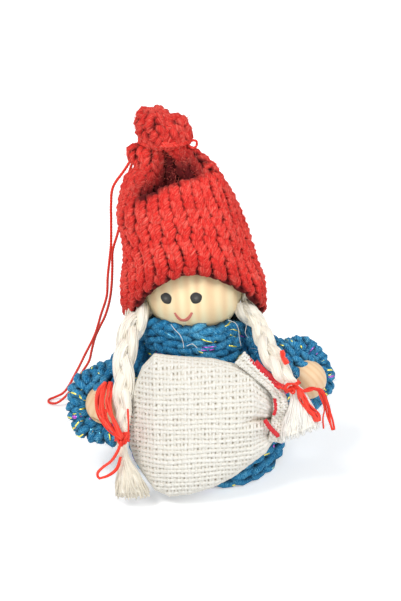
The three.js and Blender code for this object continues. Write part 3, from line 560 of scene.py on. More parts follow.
# Dark teal for the shells inside the dress and the sleeves: painted shade that shows between the loops.
TEAL_PAINTED_SHADE = fibre_finish("teal wool in painted shade", [(0.3, 8, 24, 38), (0.7, 16, 52, 76)], sheen=0.0)
CREAM_YARN = fibre_finish(
    "cream yarn",
    [(0.3, 230, 220, 200), (0.5, 249, 243, 230), (0.68, 255, 253, 248)],
    fine=(0.5, 12, 12), bump=0.02, sheen=0.3, sheen_tint=(1, 0.98, 0.94, 1), mottle=0.35,
)
SACK_THREAD = fibre_finish(
    "sack thread",
    [(0.3, 216, 212, 202), (0.5, 233, 231, 224), (0.7, 244, 243, 240)],
    deep=linear(214, 205, 188), fine=(0.6, 12, 12), bump=0.03, sheen=0.15, sheen_tint=(1, 1, 0.97, 1),
    mottle=0.3,
)
SACK_INSIDE = fibre_finish(
    "sack inside", [(0.3, 232, 222, 202), (0.7, 246, 238, 222)], sheen=0.0, fine=(2, 2, 2)
)


def glint_finish():
    finish = Finish("metallic thread", Roughness=0.28, Metallic=1.0)
    stops = [
        (0.0, 255, 236, 110), (0.6, 236, 226, 96), (0.74, 90, 170, 190), (0.86, 190, 100, 200),
        (1.0, 150, 70, 170),
    ]
    finish.colour(finish.ramp(finish.attribute("shade", "Fac"), stops))
    return finish.material


GLINT = glint_finish()


def wood_finish(name, pale, middle, dark, grain_scale, low_end_painted_light=0.0):
    """Turned wood, painted paler towards the low end of its axis, as painted light on the bead's underside.
    """
    finish = Finish(name, Roughness=0.5, Specular_IOR_Level=0.4, Coat_Weight=0.08, Coat_Roughness=0.4)
    place = finish.attribute("grain", "Vector")
    inputs = {"Scale": 0.5, "Distortion": 3.0, "Detail": 2.0, "Detail Scale": 1.2}
    inputs["Vector"] = finish.stretched(place, grain_scale)
    rings = finish.node("TexWave", inputs, bands_direction="Y").outputs["Fac"]
    bend = finish.noise(finish.stretched(place, (0.05, 0.12, 0.12)), 1.0)
    pores = finish.noise(finish.stretched(place, (0.6, 9, 9)), 1.0)
    height = finish.node("SeparateXYZ", {"Vector": place}).outputs["X"]
    total = finish.total((rings, 0.35), (bend, 0.4), (pores, 0.25), (height, low_end_painted_light))
    finish.colour(finish.ramp(total, [(0.2, *pale), (0.55, *middle), (0.9, *dark)]))
    finish.bump(pores, 0.01)
    return finish.material


# The head's wood is painted paler towards its underside, as painted light.
HEAD_WOOD = wood_finish(
    "pale turned wood", (255, 242, 202), (252, 226, 180), (241, 204, 158), (0.03, 0.22, 0.1), 0.03
)
HAND_WOOD = wood_finish(
    "warm turned wood", (244, 214, 176), (240, 204, 161), (228, 182, 134), (0.06, 0.4, 0.2)
)


def paint_finish(name, stops, roughness):
    finish = Finish(name, Roughness=roughness, Specular_IOR_Level=0.4)
    patch = finish.noise(finish.attribute("grain", "Vector"), 3.0, 3.0, 0.6)
    total = finish.total((finish.attribute("shade", "Fac"), 1.0), (patch, 0.35))
    finish.colour(finish.ramp(total, stops))
    finish.bump(patch, 0.02)
    return finish.material


EYE_PAINT = paint_finish(
    "grey black paint", [(0.15, 104, 104, 100), (0.55, 52, 52, 50), (0.95, 34, 33, 32)], 0.55
)
LIP_PAINT = paint_finish(
    "dusty red paint", [(0.2, 222, 138, 124), (0.6, 212, 120, 108), (0.95, 224, 146, 130)], 0.7
)


# Hat

# Knitting is given by its loops across, its rows, its yarn's radius and its relief, which is
# how far a loop's middle stands out and its ends lie back.
HAT_WALES = 27
HAT_ROWS = 20
TOP_WALES = 14
TOP_ROWS = 6
HAT_RELIEF = 0.85
TUFT_WALES = 11
TUFT_ROWS = 7
TUFT_RELIEF = 0.75
RED_FIBRES = {"lean": 0.8, "length": (0.6, 2.2), "radius": 0.031}
# Each row is a share of the hat's height, its half width and depth there as shares of the
# brim's, and how far it has leant towards the neck.
HAT_OUTLINE = np.array([
    [0, 1, 0.85, 0], [0.19, 0.98, 0.81, 0.03], [0.32, 0.91, 0.75, 0.15], [0.45, 0.87, 0.71, 0.31],
    [0.58, 0.83, 0.67, 0.49], [0.68, 0.78, 0.61, 0.58], [0.8, 0.68, 0.49, 0.68],
    [0.89, 0.57, 0.39, 0.72], [0.95, 0.46, 0.31, 0.87], [1, 0.3, 0.24, 1],
])
# The fold's line, to the side of the neck and below it.
FOLD_LINE = np.array([[-7.5, -12.8], [-3.5, -11], [0.5, -9], [4.5, -7.8], [10.5, -7.2], [14.5, -6.4]])
FOLD_RIDGE = 1.2
FOLD_BACK = -3.4
FOLD_DROP = 5
FOLD_LIP = 1.8
CREASE = 0.5
EAR = 2.7


def hat_fold(x, y, z, inset):
    """The fold across the hat's front: a ridge that stands forward, and behind it a pocket
    that drops and then rises to the gathered neck, with a crease up its back. Its gloom is
    painted shade on the pocket's foot, its left wall and its right side, where little light reaches."""
    plane = FOLD_BACK + 0.9 * inset
    side = x - NECK[0]
    above = z - NECK[2] - np.interp(side, FOLD_LINE[:, 0], FOLD_LINE[:, 1])
    weight = smoothstep(side, -8, -1) * (1 - 0.85 * smoothstep(side, -1, 12)) * (y < plane)
    back = weight * smoothstep(above, 0, FOLD_LIP)
    low = smoothstep(above, 0, FOLD_LIP) * (1 - smoothstep(above, FOLD_LIP, FOLD_LIP + 5))
    ridge = FOLD_RIDGE * bump(above, -2.2, 2.6) * smoothstep(plane - y, 0, 4)
    crease = 1.3 * bump(side, CREASE, 1.0) * back
    foot = bump(above, 1.8, 3.0) * smoothstep(above, -0.3, 0.5) * smoothstep(side, -9, -5)
    foot = foot * (1 - smoothstep(side, 8, 13))
    cleft = bump(side, CREASE - 0.6, 2.3) * smoothstep(above, 0, 1)
    right = smoothstep(side, CREASE - 0.5, CREASE + 1) * (1 - smoothstep(side, 6, 11))
    right = right * smoothstep(above, 0, 1) * (1 - smoothstep(above, 5, 9))
    flank = bump(side, -4.5, 3.5) * bump(above, 3.5, 4)
    gloom = np.clip(0.9 * foot + 0.9 * cleft + 0.4 * flank + 0.55 * right, 0, 0.96)
    return lerp(y, plane, back) - ridge + crease, z - weight * FOLD_DROP * low, gloom * smoothstep(-y, 0, 3)


def hat_shape(across, along, inset):
    angle = TURN * across
    front = np.clip(-np.sin(angle), 0, 1)
    arch = np.clip(-np.sin(angle - math.radians(BRIM_TURN)), 0, 1)
    brim = BRIM_ARCH / (NECK[2] - BRIM_LOW) * arch**BRIM_CURVE
    held = np.interp(along, [0, 0.54, 0.8, 1], [0, 0.78, 0.88, 1])
    share = lerp(along, held, smoothstep(front, 0.35, 0.85))
    place = lerp(brim, 1, share)
    wide, deep, lean = columns(HAT_OUTLINE, place)
    x = lerp(HEAD[0], NECK[0], lean) + (wide * BRIM_HALF - inset) * np.cos(angle)
    y = HEAD[1] + (deep * BRIM_HALF - inset) * np.sin(angle)
    z = lerp(BRIM_LOW, NECK[2], place)
    y, z, gloom = hat_fold(x, y, z, inset)
    tip = 0.9 * bump(z, BRIM_LOW - 1, 2.2)
    ear = EAR * bump(z - NECK[2], -0.7, 1.5) - 1.6 * bump(z - NECK[2], -5, 2)
    slump = 0.7 * bump(z, 66, 5) - 0.3 * bump(z, BRIM_LOW + 1, 6)
    x = x - (ear + slump - tip) * smoothstep(-np.cos(angle), 0.5, 1)
    x = x + (0.9 * bump(z, BRIM_LOW + 3, 6) - tip) * smoothstep(np.cos(angle), 0.5, 1)
    z = z - 1.3 * smoothstep(np.abs(np.cos(angle)), 0.8, 1) * (1 - smoothstep(share, 0, 0.14))
    swell = 0.35 * np.sin(3 * angle + 0.12 * z) + 0.25 * np.sin(7 * angle - 0.2 * z + 1)
    x = x + swell * np.cos(angle)
    y = y + swell * np.sin(angle)
    return np.stack([x, y, z], axis=-1), gloom


def hat_surface(across, along, inset=0.0):
    return hat_shape(across, along, inset)[0]


def hat_open(across, along):
    """Painted light on the knitting: painted shade darkens it in the pocket and where the brim turns under.
    """
    return (1 - hat_shape(across, along, 0.0)[1]) * lerp(0.72, 1, smoothstep(along, 0, 0.11))


def hat_yarn(along):
    """The yarn's radius: full at the brim, drawn tight at the neck."""
    return np.interp(along, [0, 0.55, 0.8, 1], [0.95, 0.92, 0.88, 0.8])


def hat():
    """The cap is knitted up to the fold in front and nearly to the neck elsewhere, and the
    top of it with fewer, wider stitches."""
    skein = Skein()
    for wales, rows, low, high, seed in (
        (HAT_WALES, HAT_ROWS, (0, 0), (0.83, 0.65), 11),
        (TOP_WALES, TOP_ROWS, (0.8, 0.61), (1, 1), 13),
    ):
        def place(across, along):
            front = smoothstep(-np.sin(TURN * across), 0.55, 0.92)
            return lerp(lerp(*low, front), lerp(*high, front), along)

        surface = lambda across, along: hat_surface(across, place(across, along), 1.6)
        yarn = lambda across, along: hat_yarn(place(across, along))
        # The loops carry the hat's painted shade, from the pocket and the turned-under brim.
        light = lambda across, along: hat_open(across, place(across, along))
        knit(skein, surface, wales, rows, yarn, HAT_RELIEF, seed=seed, open_at=light, swing=0.17, rise=0.92,
             twist=(2, 0.26, 4), uneven=0.07, belly=0.15, pinch=0.08)
    fibres = Skein()
    surface_fuzz(fibres, hat_surface, 3400, 12, -0.4, **RED_FIBRES)
    skein.piece("hat_knit", "torso", RED_KNIT, "red_knit", ["hat"])
    fibres.piece("hat_fibres", "torso", RED_KNIT, "red_knit")
    # A dark red shell inside the knitting: painted shade that shows between the loops.
    shade_shell = Skein()
    shade_shell.shell(hat_surface, 2.9, 64, 30, 0.01, 0.99)
    shade_shell.piece("hat_shade_shell", "torso", RED_PAINTED_SHADE, "red_knit")


# Each row is a share of the way up the tuft, the height above the neck, the radius and the
# drift to the side.
TUFT_PLACES = np.array([
    [0, 0.6, 4.6, 0], [0.22, 2.6, 5.9, 0.1], [0.45, 5.0, 6.1, -0.6], [0.7, 7.2, 5.7, -1.2],
    [0.88, 8.5, 4.0, -1.6], [1, 7.8, 1.2, -1.8],
])

# Where the tuft's cut ends fray, and the way they point.
TUFT_ENDS = [
    ((-6.6, -1, 90.0), (0.25, 0, 1)), ((-5.8, -1, 89.8), (0.7, 0, 0.8)),
    ((-18.4, -1, 82.8), (-1, 0, -0.1)), ((-18.0, -1, 81.8), (-1, 0, -0.6)),
    ((-12.9, -2, 92.4), (0.1, -0.2, 1)),
]


def tuft_surface(across, along, inset=0.0):
    angle = TURN * across
    rise, half, drift = columns(TUFT_PLACES, along)
    half = half * (1 + 0.06 * np.cos(3 * angle + 0.6)) - inset
    x = NECK[0] + drift + half * np.cos(angle)
    lobes = -0.4 * bump(x, -14.2, 2.6) - 3.4 * bump(x, -9.5, 1.4) - 1.1 * bump(x, -5.8, 2.2)
    deep = 0.8 - 0.2 * bump(x, -9.4, 1.6) * smoothstep(along, 0.3, 0.8)
    z = NECK[2] + rise + lobes * smoothstep(along, 0.35, 0.9)
    y = NECK[1] + deep * half * np.sin(angle)
    knob = 0.7 * np.sin(1.5 * x + 1.1 * z) * np.sin(1.2 * z - 0.9 * y + 1) * smoothstep(along, 0.1, 0.4)
    return np.stack([x + knob * np.cos(angle), y + knob * np.sin(angle), z + 0.5 * knob], axis=-1)


def tuft():
    skein = Skein()
    yarn = lambda across, along: np.interp(along, [0, 0.3, 1], [0.8, 1.05, 1.0])
    inner = lambda across, along: tuft_surface(across, along, 1.2)
    # The tuft's loops get the painted shade of all knitting, a little deeper throughout.
    knit(skein, inner, TUFT_WALES, TUFT_ROWS, yarn, TUFT_RELIEF, seed=21, uneven=0.16, swing=0.2,
         rise=0.75, twist=(2, 0.24, 5), open_at=lambda across, along: 0.88)
    # A dark red shell inside the tuft: painted shade that shows between its loops.
    core = Skein()
    core.shell(tuft_surface, 2.0, 40, 14)
    core.piece("tuft_shade_shell", "torso", RED_PAINTED_SHADE, "red_knit")
    rng = np.random.default_rng(22)
    ends = [spray(np.array(start), unit(aim), rng) for start, aim in TUFT_ENDS for _ in range(9)]
    skein.piece("hat_tuft", "torso", RED_KNIT, "red_knit")
    fibres = Skein()
    fibres.tubes(np.array(ends), 0.07 * np.linspace(1, 0.5, 6), sides=4, shade=0.7)
    surface_fuzz(fibres, tuft_surface, 1100, 23, -0.3, **RED_FIBRES)
    fibres.piece("tuft_fibres", "torso", RED_KNIT, "red_knit")


def spray(start, aim, rng):
    """One frayed fibre of a cut end."""
    share = np.linspace(0, 1, 6)[:, None]
    heading = unit(aim + 0.4 * rng.normal(size=3))
    bend = 0.35 * rng.normal(size=3)
    root = start + 0.25 * rng.normal(size=3)
    reach = 1.7 * rng.uniform(0.6, 1.2)
    return root + reach * (share * heading + share**2 * bend)


def ring_path(centre, wide, deep, turns, count, rise=0.0, first=ACROSS, second=BACK):
    angle = np.linspace(0, TURN * turns, count)
    ring = shifted(centre, wide * np.cos(angle), first, deep * np.sin(angle), second)
    return ring + np.linspace(-rise / 2, rise / 2, count)[:, None] * np.cross(first, second)


TIE_KNOT = [
    (5.9, -1.6, -0.2), (6.8, -2, 0.5), (7.7, -1.8, 0.2), (7.6, -1.6, -1.1), (6.6, -1.8, -1.4),
    (5.8, -2, -0.6),
]


def hat_tie():
    skein = Skein()
    middle = NECK + np.array([0, 0, 1.7])
    wrap = ring_path(middle, 5.9, 4.6, 2, 90, rise=1.1)
    skein.tubes(wrap, 0.52, sides=10, hint=UP, twist=(2, 0.34, 2.6))
    skein.tubes(middle + curve(TIE_KNOT, 26), 0.3, sides=8, twist=(2, 0.3, 1.6))
    skein.piece("hat_tie_yarn", "torso", RED_KNIT, "red_knit", ["hat_tie"])


# Dress

DRESS_WALES = 10
DRESS_COURSES = 26
DRESS_YARN = 0.97
DRESS_RELIEF = 0.66


def dress_radius(height):
    return lerp(COLLAR_RADIUS, HEM_RADIUS, smoothstep(1 - height / DRESS_HEIGHT))


def dress_surface(across, along, inset=0.0):
    angle = TURN * across
    height = DRESS_HEIGHT * along
    tuck = 1.6 * (1 - smoothstep(height, -0.5, 2.4)) + 1.2 * smoothstep(height, 40.4, 43)
    lump = 0.35 * np.sin(5 * angle + 0.2 * height) + 0.25 * np.sin(9 * angle - 0.33 * height)
    radius = dress_radius(height) - inset - tuck + lump
    height = height - 4.2 * smoothstep(np.sin(angle), -0.8, -0.05) * smoothstep(height, 30, 42)
    left = 1.7 * smoothstep(height, 24, 37) * smoothstep(-np.cos(angle), 0, 1)
    return np.stack([LEAN * height + radius * np.cos(angle) - left, radius * np.sin(angle), height], axis=-1)


TEAL_FIBRES = {"lean": 0.9, "radius": 0.029}


def dress():
    skein = Skein()
    inner = lambda across, along: dress_surface(across, lerp(1.0, 41.6, along) / DRESS_HEIGHT, 1.5)
    path, out = knit(
        skein, inner, DRESS_WALES, DRESS_COURSES, DRESS_YARN, DRESS_RELIEF, seed=31, closed=False,
        turned=True, swing=0.19, rise=0.92, twist=(2, 0.32, 3.6), uneven=0.09, belly=0.5,
    )
    skein.piece("dress_knit", "torso", TEAL_KNIT, "teal_knit", ["dress"])
    shine(path, out, DRESS_YARN, 260, 32).piece("dress_glints", "torso", GLINT, "teal_knit")
    fibres = Skein()
    surface_fuzz(fibres, dress_surface, 2000, 33, -0.4, **TEAL_FIBRES)
    fibres.piece("dress_fibres", "torso", TEAL_KNIT, "teal_knit")
    # A dark teal shell inside the knitting: painted shade that shows between the loops.
    shade_shell = Skein()
    shade_shell.shell(dress_surface, 2.6, 72, 30, 0.01, 0.985)
    shade_shell.piece("dress_shade_shell", "torso", TEAL_PAINTED_SHADE, "teal_knit")


def shine(paths, out, radius, count, seed):
    """Short lengths of metallic thread that lie on the yarn."""
    rng = np.random.default_rng(seed)
    rows, samples = paths.shape[:2]
    made = []
    for _ in range(count):
        row = rng.integers(rows)
        start = rng.integers(samples - 8)
        part, normal = paths[row, start : start + 7], out[row, start : start + 7]
        side = np.cross(unit(np.gradient(part, axis=0)), normal)
        turn = rng.uniform(-0.9, 0.5) + np.linspace(0, 1.1, 7)[:, None]
        made.append(part + (radius * 1.04) * (np.cos(turn) * normal + np.sin(turn) * side))
    skein = Skein()
    skein.tubes(np.array(made), 0.23, sides=6, shade=rng.uniform(0, 1, count))
    return skein


# Sleeves and hands

def frame_across(direction):
    direction = unit(direction)
    first = unit(ACROSS - ACROSS @ direction * direction)
    return first, np.cross(direction, first)


def hand_centre(arm):
    return arm["cuff"] + 2.5 * unit(arm["facing"])


CUFF_KNIT = {"wales": 12, "rows": 7, "radius": 0.98, "depth": 0.6}
STEM_KNIT = {"wales": 7, "rows": 9, "radius": 0.92, "depth": 0.5}
SLEEVE_STITCH = {"swing": 0.17, "rise": 0.85, "twist": (2, 0.36, 3.2), "samples": 14, "belly": 0.5}


def sleeve(name):
    arm = ARMS[name]
    body = "arm_" + name
    facing = unit(arm["facing"])
    first, second = frame_across(facing)
    middle = arm["cuff_radius"] - CUFF_ROLL

    def cuff_surface(across, along, inset=0.0):
        ring = TURN * across
        turn = lerp(-0.85, 1.15, along) * math.pi
        lump = 0.3 * np.sin(5 * ring + 1) + 0.22 * np.sin(8 * ring + 2 * turn)
        under = arm["slack"] * smoothstep(-np.sin(ring), 0.0, 0.9)
        roll = CUFF_ROLL - under - inset + lump
        radius = middle - under + roll * np.cos(turn)
        return around(arm["cuff"], radius, ring, first, second) + (roll * np.sin(turn))[..., None] * facing

    start = arm["shoulder"]
    end = arm["cuff"] - 1.0 * facing
    line = curve([start - 2 * (end - start) / 20, lerp(start, end, 0.5), end], 20)

    def stem_surface(across, along, inset=0.0):
        ring = TURN * across
        radius = lerp(3.2, 7.2, smoothstep(along, 0.15, 1.0)) - inset
        return around(along_line(line, along), radius, ring, *frame_across(end - start))

    inner_cuff = lambda across, along: cuff_surface(across, along, 1.1)
    inner_stem = lambda across, along: stem_surface(across, along, 1.0)
    skein = Skein()
    path, out = knit(skein, inner_cuff, seed=41, uneven=0.12, **CUFF_KNIT, **SLEEVE_STITCH)
    knit(skein, inner_stem, seed=42, **STEM_KNIT, **SLEEVE_STITCH)
    skein.piece("sleeve_knit_" + name, body, TEAL_KNIT, "teal_knit", ["sleeve_" + name])
    shine(path, out, 0.95, 110, 43).piece("sleeve_glints_" + name, body, GLINT, "teal_knit")
    fibres = Skein()
    surface_fuzz(fibres, cuff_surface, 1000, 44, -0.3, **TEAL_FIBRES)
    surface_fuzz(fibres, stem_surface, 200, 45, -0.3, **TEAL_FIBRES)
    fibres.piece("sleeve_fibres_" + name, body, TEAL_KNIT, "teal_knit")
    # A dark teal shell inside the cuff and the sleeve, closed behind the cuff: painted shade that shows
    # between the loops.
    shade_shell = Skein()
    shade_shell.shell(cuff_surface, 1.9, 40, 20)
    shade_shell.shell(stem_surface, 2.0, 40, 20)
    radii = np.linspace(0.05, middle, 8)[:, None]
    back = around(arm["cuff"] - CUFF_ROLL * facing, radii, circle(40), first, second)
    shade_shell.sheet(back, closed_across=True)
    shade_shell.piece("sleeve_shade_shell_" + name, body, TEAL_PAINTED_SHADE, "teal_knit")


def bead(name, body, centre, radius, bore, axis, material, replaces, chamfer):
    """A turned bead with its bore and the small chamfer at each end of it."""
    start = math.asin((bore + chamfer) / radius)
    arc = np.linspace(-math.pi / 2 + start, math.pi / 2 - start, 48)
    end = radius * math.sin(arc[-1])
    profile = [(radius * math.cos(a), radius * math.sin(a)) for a in arc]
    profile += [(bore + chamfer * 0.5, end - chamfer * 0.25), (bore, end - chamfer)]
    profile += [(bore, z) for z in np.linspace(end - chamfer, -end + chamfer, 6)[1:]]
    profile += [(bore + chamfer * 0.5, -end + chamfer * 0.25)]
    reach, height = np.array(profile).T[..., None]
    angle = circle(72)
    local = np.broadcast_arrays(reach * np.cos(angle), reach * np.sin(angle), height)
    first, second = frame_across(axis)
    skein = Skein()
    points = shifted(centre, local[0], first, local[1], second) + local[2][..., None] * unit(axis)
    skein.sheet(points, closed_across=True, closed_along=True)
    skein.grain = [np.stack([local[2], local[0], local[1]], axis=-1).reshape(-1, 3)]
    skein.piece(name, body, material, "wood", [replaces])


def on_head(longitude, latitude, off=0.0):
    across = longitude * math.cos(FACE_ROLL) - latitude * math.sin(FACE_ROLL)
    up = longitude * math.sin(FACE_ROLL) + latitude * math.cos(FACE_ROLL)
    lon = np.radians(across + FACE_TURN)
    lat = np.radians(up + FACE_NOD)
    radius = HEAD_RADIUS + np.asarray(off, float)[..., None]
    out = np.stack([np.cos(lat) * np.sin(lon), -np.cos(lat) * np.cos(lon), np.sin(lat)], axis=-1)
    return BALL + radius * out


# Degrees across and up the face from its middle, and an eye's half sizes in millimetres.
EYE_APART = 17.75
EYE_HALF_WIDTHS = {-1: 1.62, 1: 1.45}
EYE_HALF_HEIGHT = 1.42
MOUTH_HALF = 10.3
MOUTH_LOW = -27.6
MOUTH_RISE = 10.8


def eye(side, name):
    """A painted dot that follows the bead: thin at its edge and worn pale in its middle."""
    rings = np.linspace(0.02, 1, 9)
    angle = circle(40)
    edge = 1 + 0.03 * np.sin(3 * angle + side) + 0.02 * np.sin(5 * angle)
    spread = rings[:, None] * edge
    degrees = math.degrees(1 / HEAD_RADIUS)
    lon = side * EYE_APART + spread * EYE_HALF_WIDTHS[side] * degrees * np.cos(angle)
    lat = spread * EYE_HALF_HEIGHT * degrees * np.sin(angle)
    off = 0.16 - 0.13 * rings[:, None] ** 4 + 0 * angle
    skein = Skein()
    shade = np.clip(0.05 + 0.75 * rings[:, None], 0, 0.75)
    skein.sheet(on_head(lon, lat, off), closed_across=True, shade=shade)
    skein.piece("painted_" + name, "torso", EYE_PAINT, "eye_paint", [name])


def mouth():
    """A brush stroke, thick in its middle and at its start."""
    share = np.linspace(-1, 1, 40)
    lon = 1.0 + MOUTH_HALF * share - 1.6 * (1 - share**2)
    lat = MOUTH_LOW + MOUTH_RISE * np.abs(share) ** 2.3
    width = 0.47 * (1 - 0.4 * np.abs(share) ** 3)
    middle = on_head(lon, lat, 0.02)
    out = unit(middle - BALL)
    side = np.cross(out, unit(np.gradient(middle, axis=0)))
    section = circle(12)
    across, upward = width[:, None] * np.cos(section), 0.09 * np.sin(section)
    skein = Skein()
    grid = shifted(middle[:, None], across, side[:, None], upward, out[:, None])
    skein.sheet(grid, closed_across=True, shade=0.3)
    skein.piece("painted_mouth", "torso", LIP_PAINT, "mouth_paint", ["mouth"])


# Hair

def line_frame(line, hint=ACROSS):
    """Two directions across a line at each of its points."""
    heading = unit(np.gradient(line, axis=0))
    side = unit(hint - (heading @ hint)[:, None] * heading)
    return side, np.cross(heading, side)


def bundle(skein, line, count, wide, deep, radius, rng, hint=ACROSS, waves=1.2, shade=(0.3, 0.8), sides=4):
    """Fine fibres that run together along a line, filling an oval section."""
    side, other = line_frame(line, hint)
    angle = rng.uniform(0, TURN, count)
    reach = np.sqrt(rng.uniform(0.1, 1, count))[:, None]
    share = np.linspace(0, 1, len(line))
    spin = angle[:, None] + 0.5 * np.sin(TURN * waves * share + rng.uniform(0, 6.3, count)[:, None])
    paths = shifted(line, reach * wide * np.cos(spin), side, reach * deep * np.sin(spin), other)
    skein.tubes(paths, radius, sides=sides, shade=rng.uniform(*shade, count))
    return paths


def braid_line(hair):
    """The braid's middle from its root to its tie."""
    root, tie = hair["root"], hair["tie"]
    bends = [lerp(root, tie, share) + np.array([x, y, z]) for share, x, y, z in hair["bends"]]
    return curve([root, *bends, tie], 160)


BRAID_PITCH = 24
STRAND_HAIRS = 46
TASSEL_HAIRS = 280


def braid(name):
    hair = BRAIDS[name]
    line = braid_line(hair)
    share = np.linspace(0, 1, len(line))
    half = np.interp(share, [0, 0.2, 0.45, 0.72, 0.94, 1], hair["half"])
    side, other = line_frame(line)
    rng = np.random.default_rng(51 if name == "left" else 52)
    for number in (1, 2, 3):
        phase = TURN * (share * run_along(line)[-1] / BRAID_PITCH + number / 3)
        swing, weave = 0.55 * half * np.sin(phase), 0.42 * half * np.sin(2 * phase)
        middle = shifted(line, swing, side, weave, other)[:-3:2]
        size = 0.5 * half[:-3:2]
        skein = Skein()
        skein.tubes(middle, 0.8 * size, sides=8, shade=0.45)
        paths = bundle(skein, middle, STRAND_HAIRS, size, 0.85 * size, 0.17, rng, shade=(0.25, 0.85))
        roots = paths[::6, ::12].reshape(-1, 3)
        away = unit(rng.normal(size=roots.shape))
        fuzz(skein, roots, away, rng, length=(1, 2.4), radius=0.02, shade=(0.6, 0.9))
        strand = f"braid_{name}_strand_{number}"
        skein.piece(f"hair_{name}_{number}", "braid_" + name, CREAM_YARN, "cream_yarn", [strand])


STRAYS = [
    [(-9, 42.8), (-8.1, 41.6), (-6.8, 40.3), (-6.1, 38.6), (-5.9, 37)],
    [(5, 43.4), (6.8, 42), (7.6, 40), (7.8, 38), (8.3, 35.6)],
    [(-5.2, 37.6), (-3.8, 38.2), (-2.6, 37.2)],
    [(8.6, 42.2), (9.6, 40.2), (9.4, 38.2), (10.2, 36.6)],
]


def hank():
    """The hair under the hat, and a few loose hairs that cling to the dress."""
    rng = np.random.default_rng(53)
    angle = np.radians(np.linspace(-22, 202, 60))
    reach = HEAD_RADIUS + 0.3 + HAIR_THICK / 2
    line = np.stack(
        [HEAD[0] + reach * np.cos(angle), np.full(60, -1.5), HEAD[2] + reach * np.sin(angle)], axis=-1
    )
    skein = Skein()
    bundle(skein, line, 34, 3.0, 0.7, 0.32, rng, hint=BACK)
    for points in STRAYS:
        x, height = curve([(x, 0, z) for x, z in points], 24)[:, [0, 2]].T
        reach = dress_radius(height) + 2.1
        y = -np.sqrt(reach**2 - (x - LEAN * height) ** 2)
        skein.tubes(np.stack([x, y, height], axis=-1), 0.07, sides=4, shade=0.7)
    skein.piece("hair_hank_yarn", "torso", CREAM_YARN, "cream_yarn", ["hair_hank"])


def tassel(name):
    hair = BRAIDS[name]
    line = braid_line(hair)
    tie = hair["tie"]
    axis = unit(line[-1] - line[-4])
    end = tie + np.array(hair["tassel"], float)
    fall = unit(end - tie)
    middle = curve([tie - 2.0 * axis, tie, tie + 2.4 * axis, lerp(tie + 2.4 * axis, end, 0.5), end], 16)
    side, other = (lerp(high, low, 0.5) for high, low in zip(frame_across(axis), frame_across(fall)))
    first = 0.8 * hair["half"][-1]
    wide_end, deep_end = hair["flare"]

    def section(level):
        """The tassel's middle at a share of its length, how far it has opened, and its halves."""
        opened = smoothstep(level, hair["opens"], 1.05)
        return along_line(middle, level), opened, lerp(first, wide_end, opened), lerp(first, deep_end, opened)

    rng = np.random.default_rng(54 if name == "left" else 55)
    count = TASSEL_HAIRS
    angle = rng.uniform(0, TURN, count)
    reach = np.sqrt(rng.uniform(0, 1, count))
    x, y = reach * np.cos(angle), reach * np.sin(angle)
    length = rng.uniform(0.82, 1.02, count)
    paths = []
    for k in range(count):
        level = np.linspace(0, 1, 16) * length[k]
        at, opened, wide, deep = section(level)
        wave = opened * 0.28 * np.sin(TURN * (2.1 * level + rng.uniform()) + 6 * y[k])
        swing = opened * 0.28 * np.cos(TURN * (1.7 * level + rng.uniform()))
        at = shifted(at, x[k] * wide + wave, side, y[k] * deep + swing, other)
        at[:, 2] = np.maximum(at[:, 2], 0.25)
        paths.append(at)
    skein = Skein()
    skein.tubes(np.array(paths), 0.14, sides=4, shade=rng.uniform(*hair["pale"], count))
    at, _, wide, deep = section(np.linspace(0.04, 0.9, 14)[:, None])
    ring = circle(24)
    core = shifted(at, 0.86 * wide * np.cos(ring), side, 0.86 * deep * np.sin(ring), other)
    core[..., 2] = np.maximum(core[..., 2], 0.4)
    skein.sheet(core, closed_across=True, shade=0.7)
    roots = np.array(paths)[::3, 6::4].reshape(-1, 3)
    roots = roots[roots[:, 2] > 2.5][::2]
    away = unit(fall + rng.normal(size=roots.shape))
    fuzz(skein, roots, away, rng, length=(1, 3), radius=0.028, shade=(0.6, 0.9))
    skein.piece("tassel_yarn_" + name, "braid_" + name, CREAM_YARN, "cream_yarn", ["tassel_" + name])


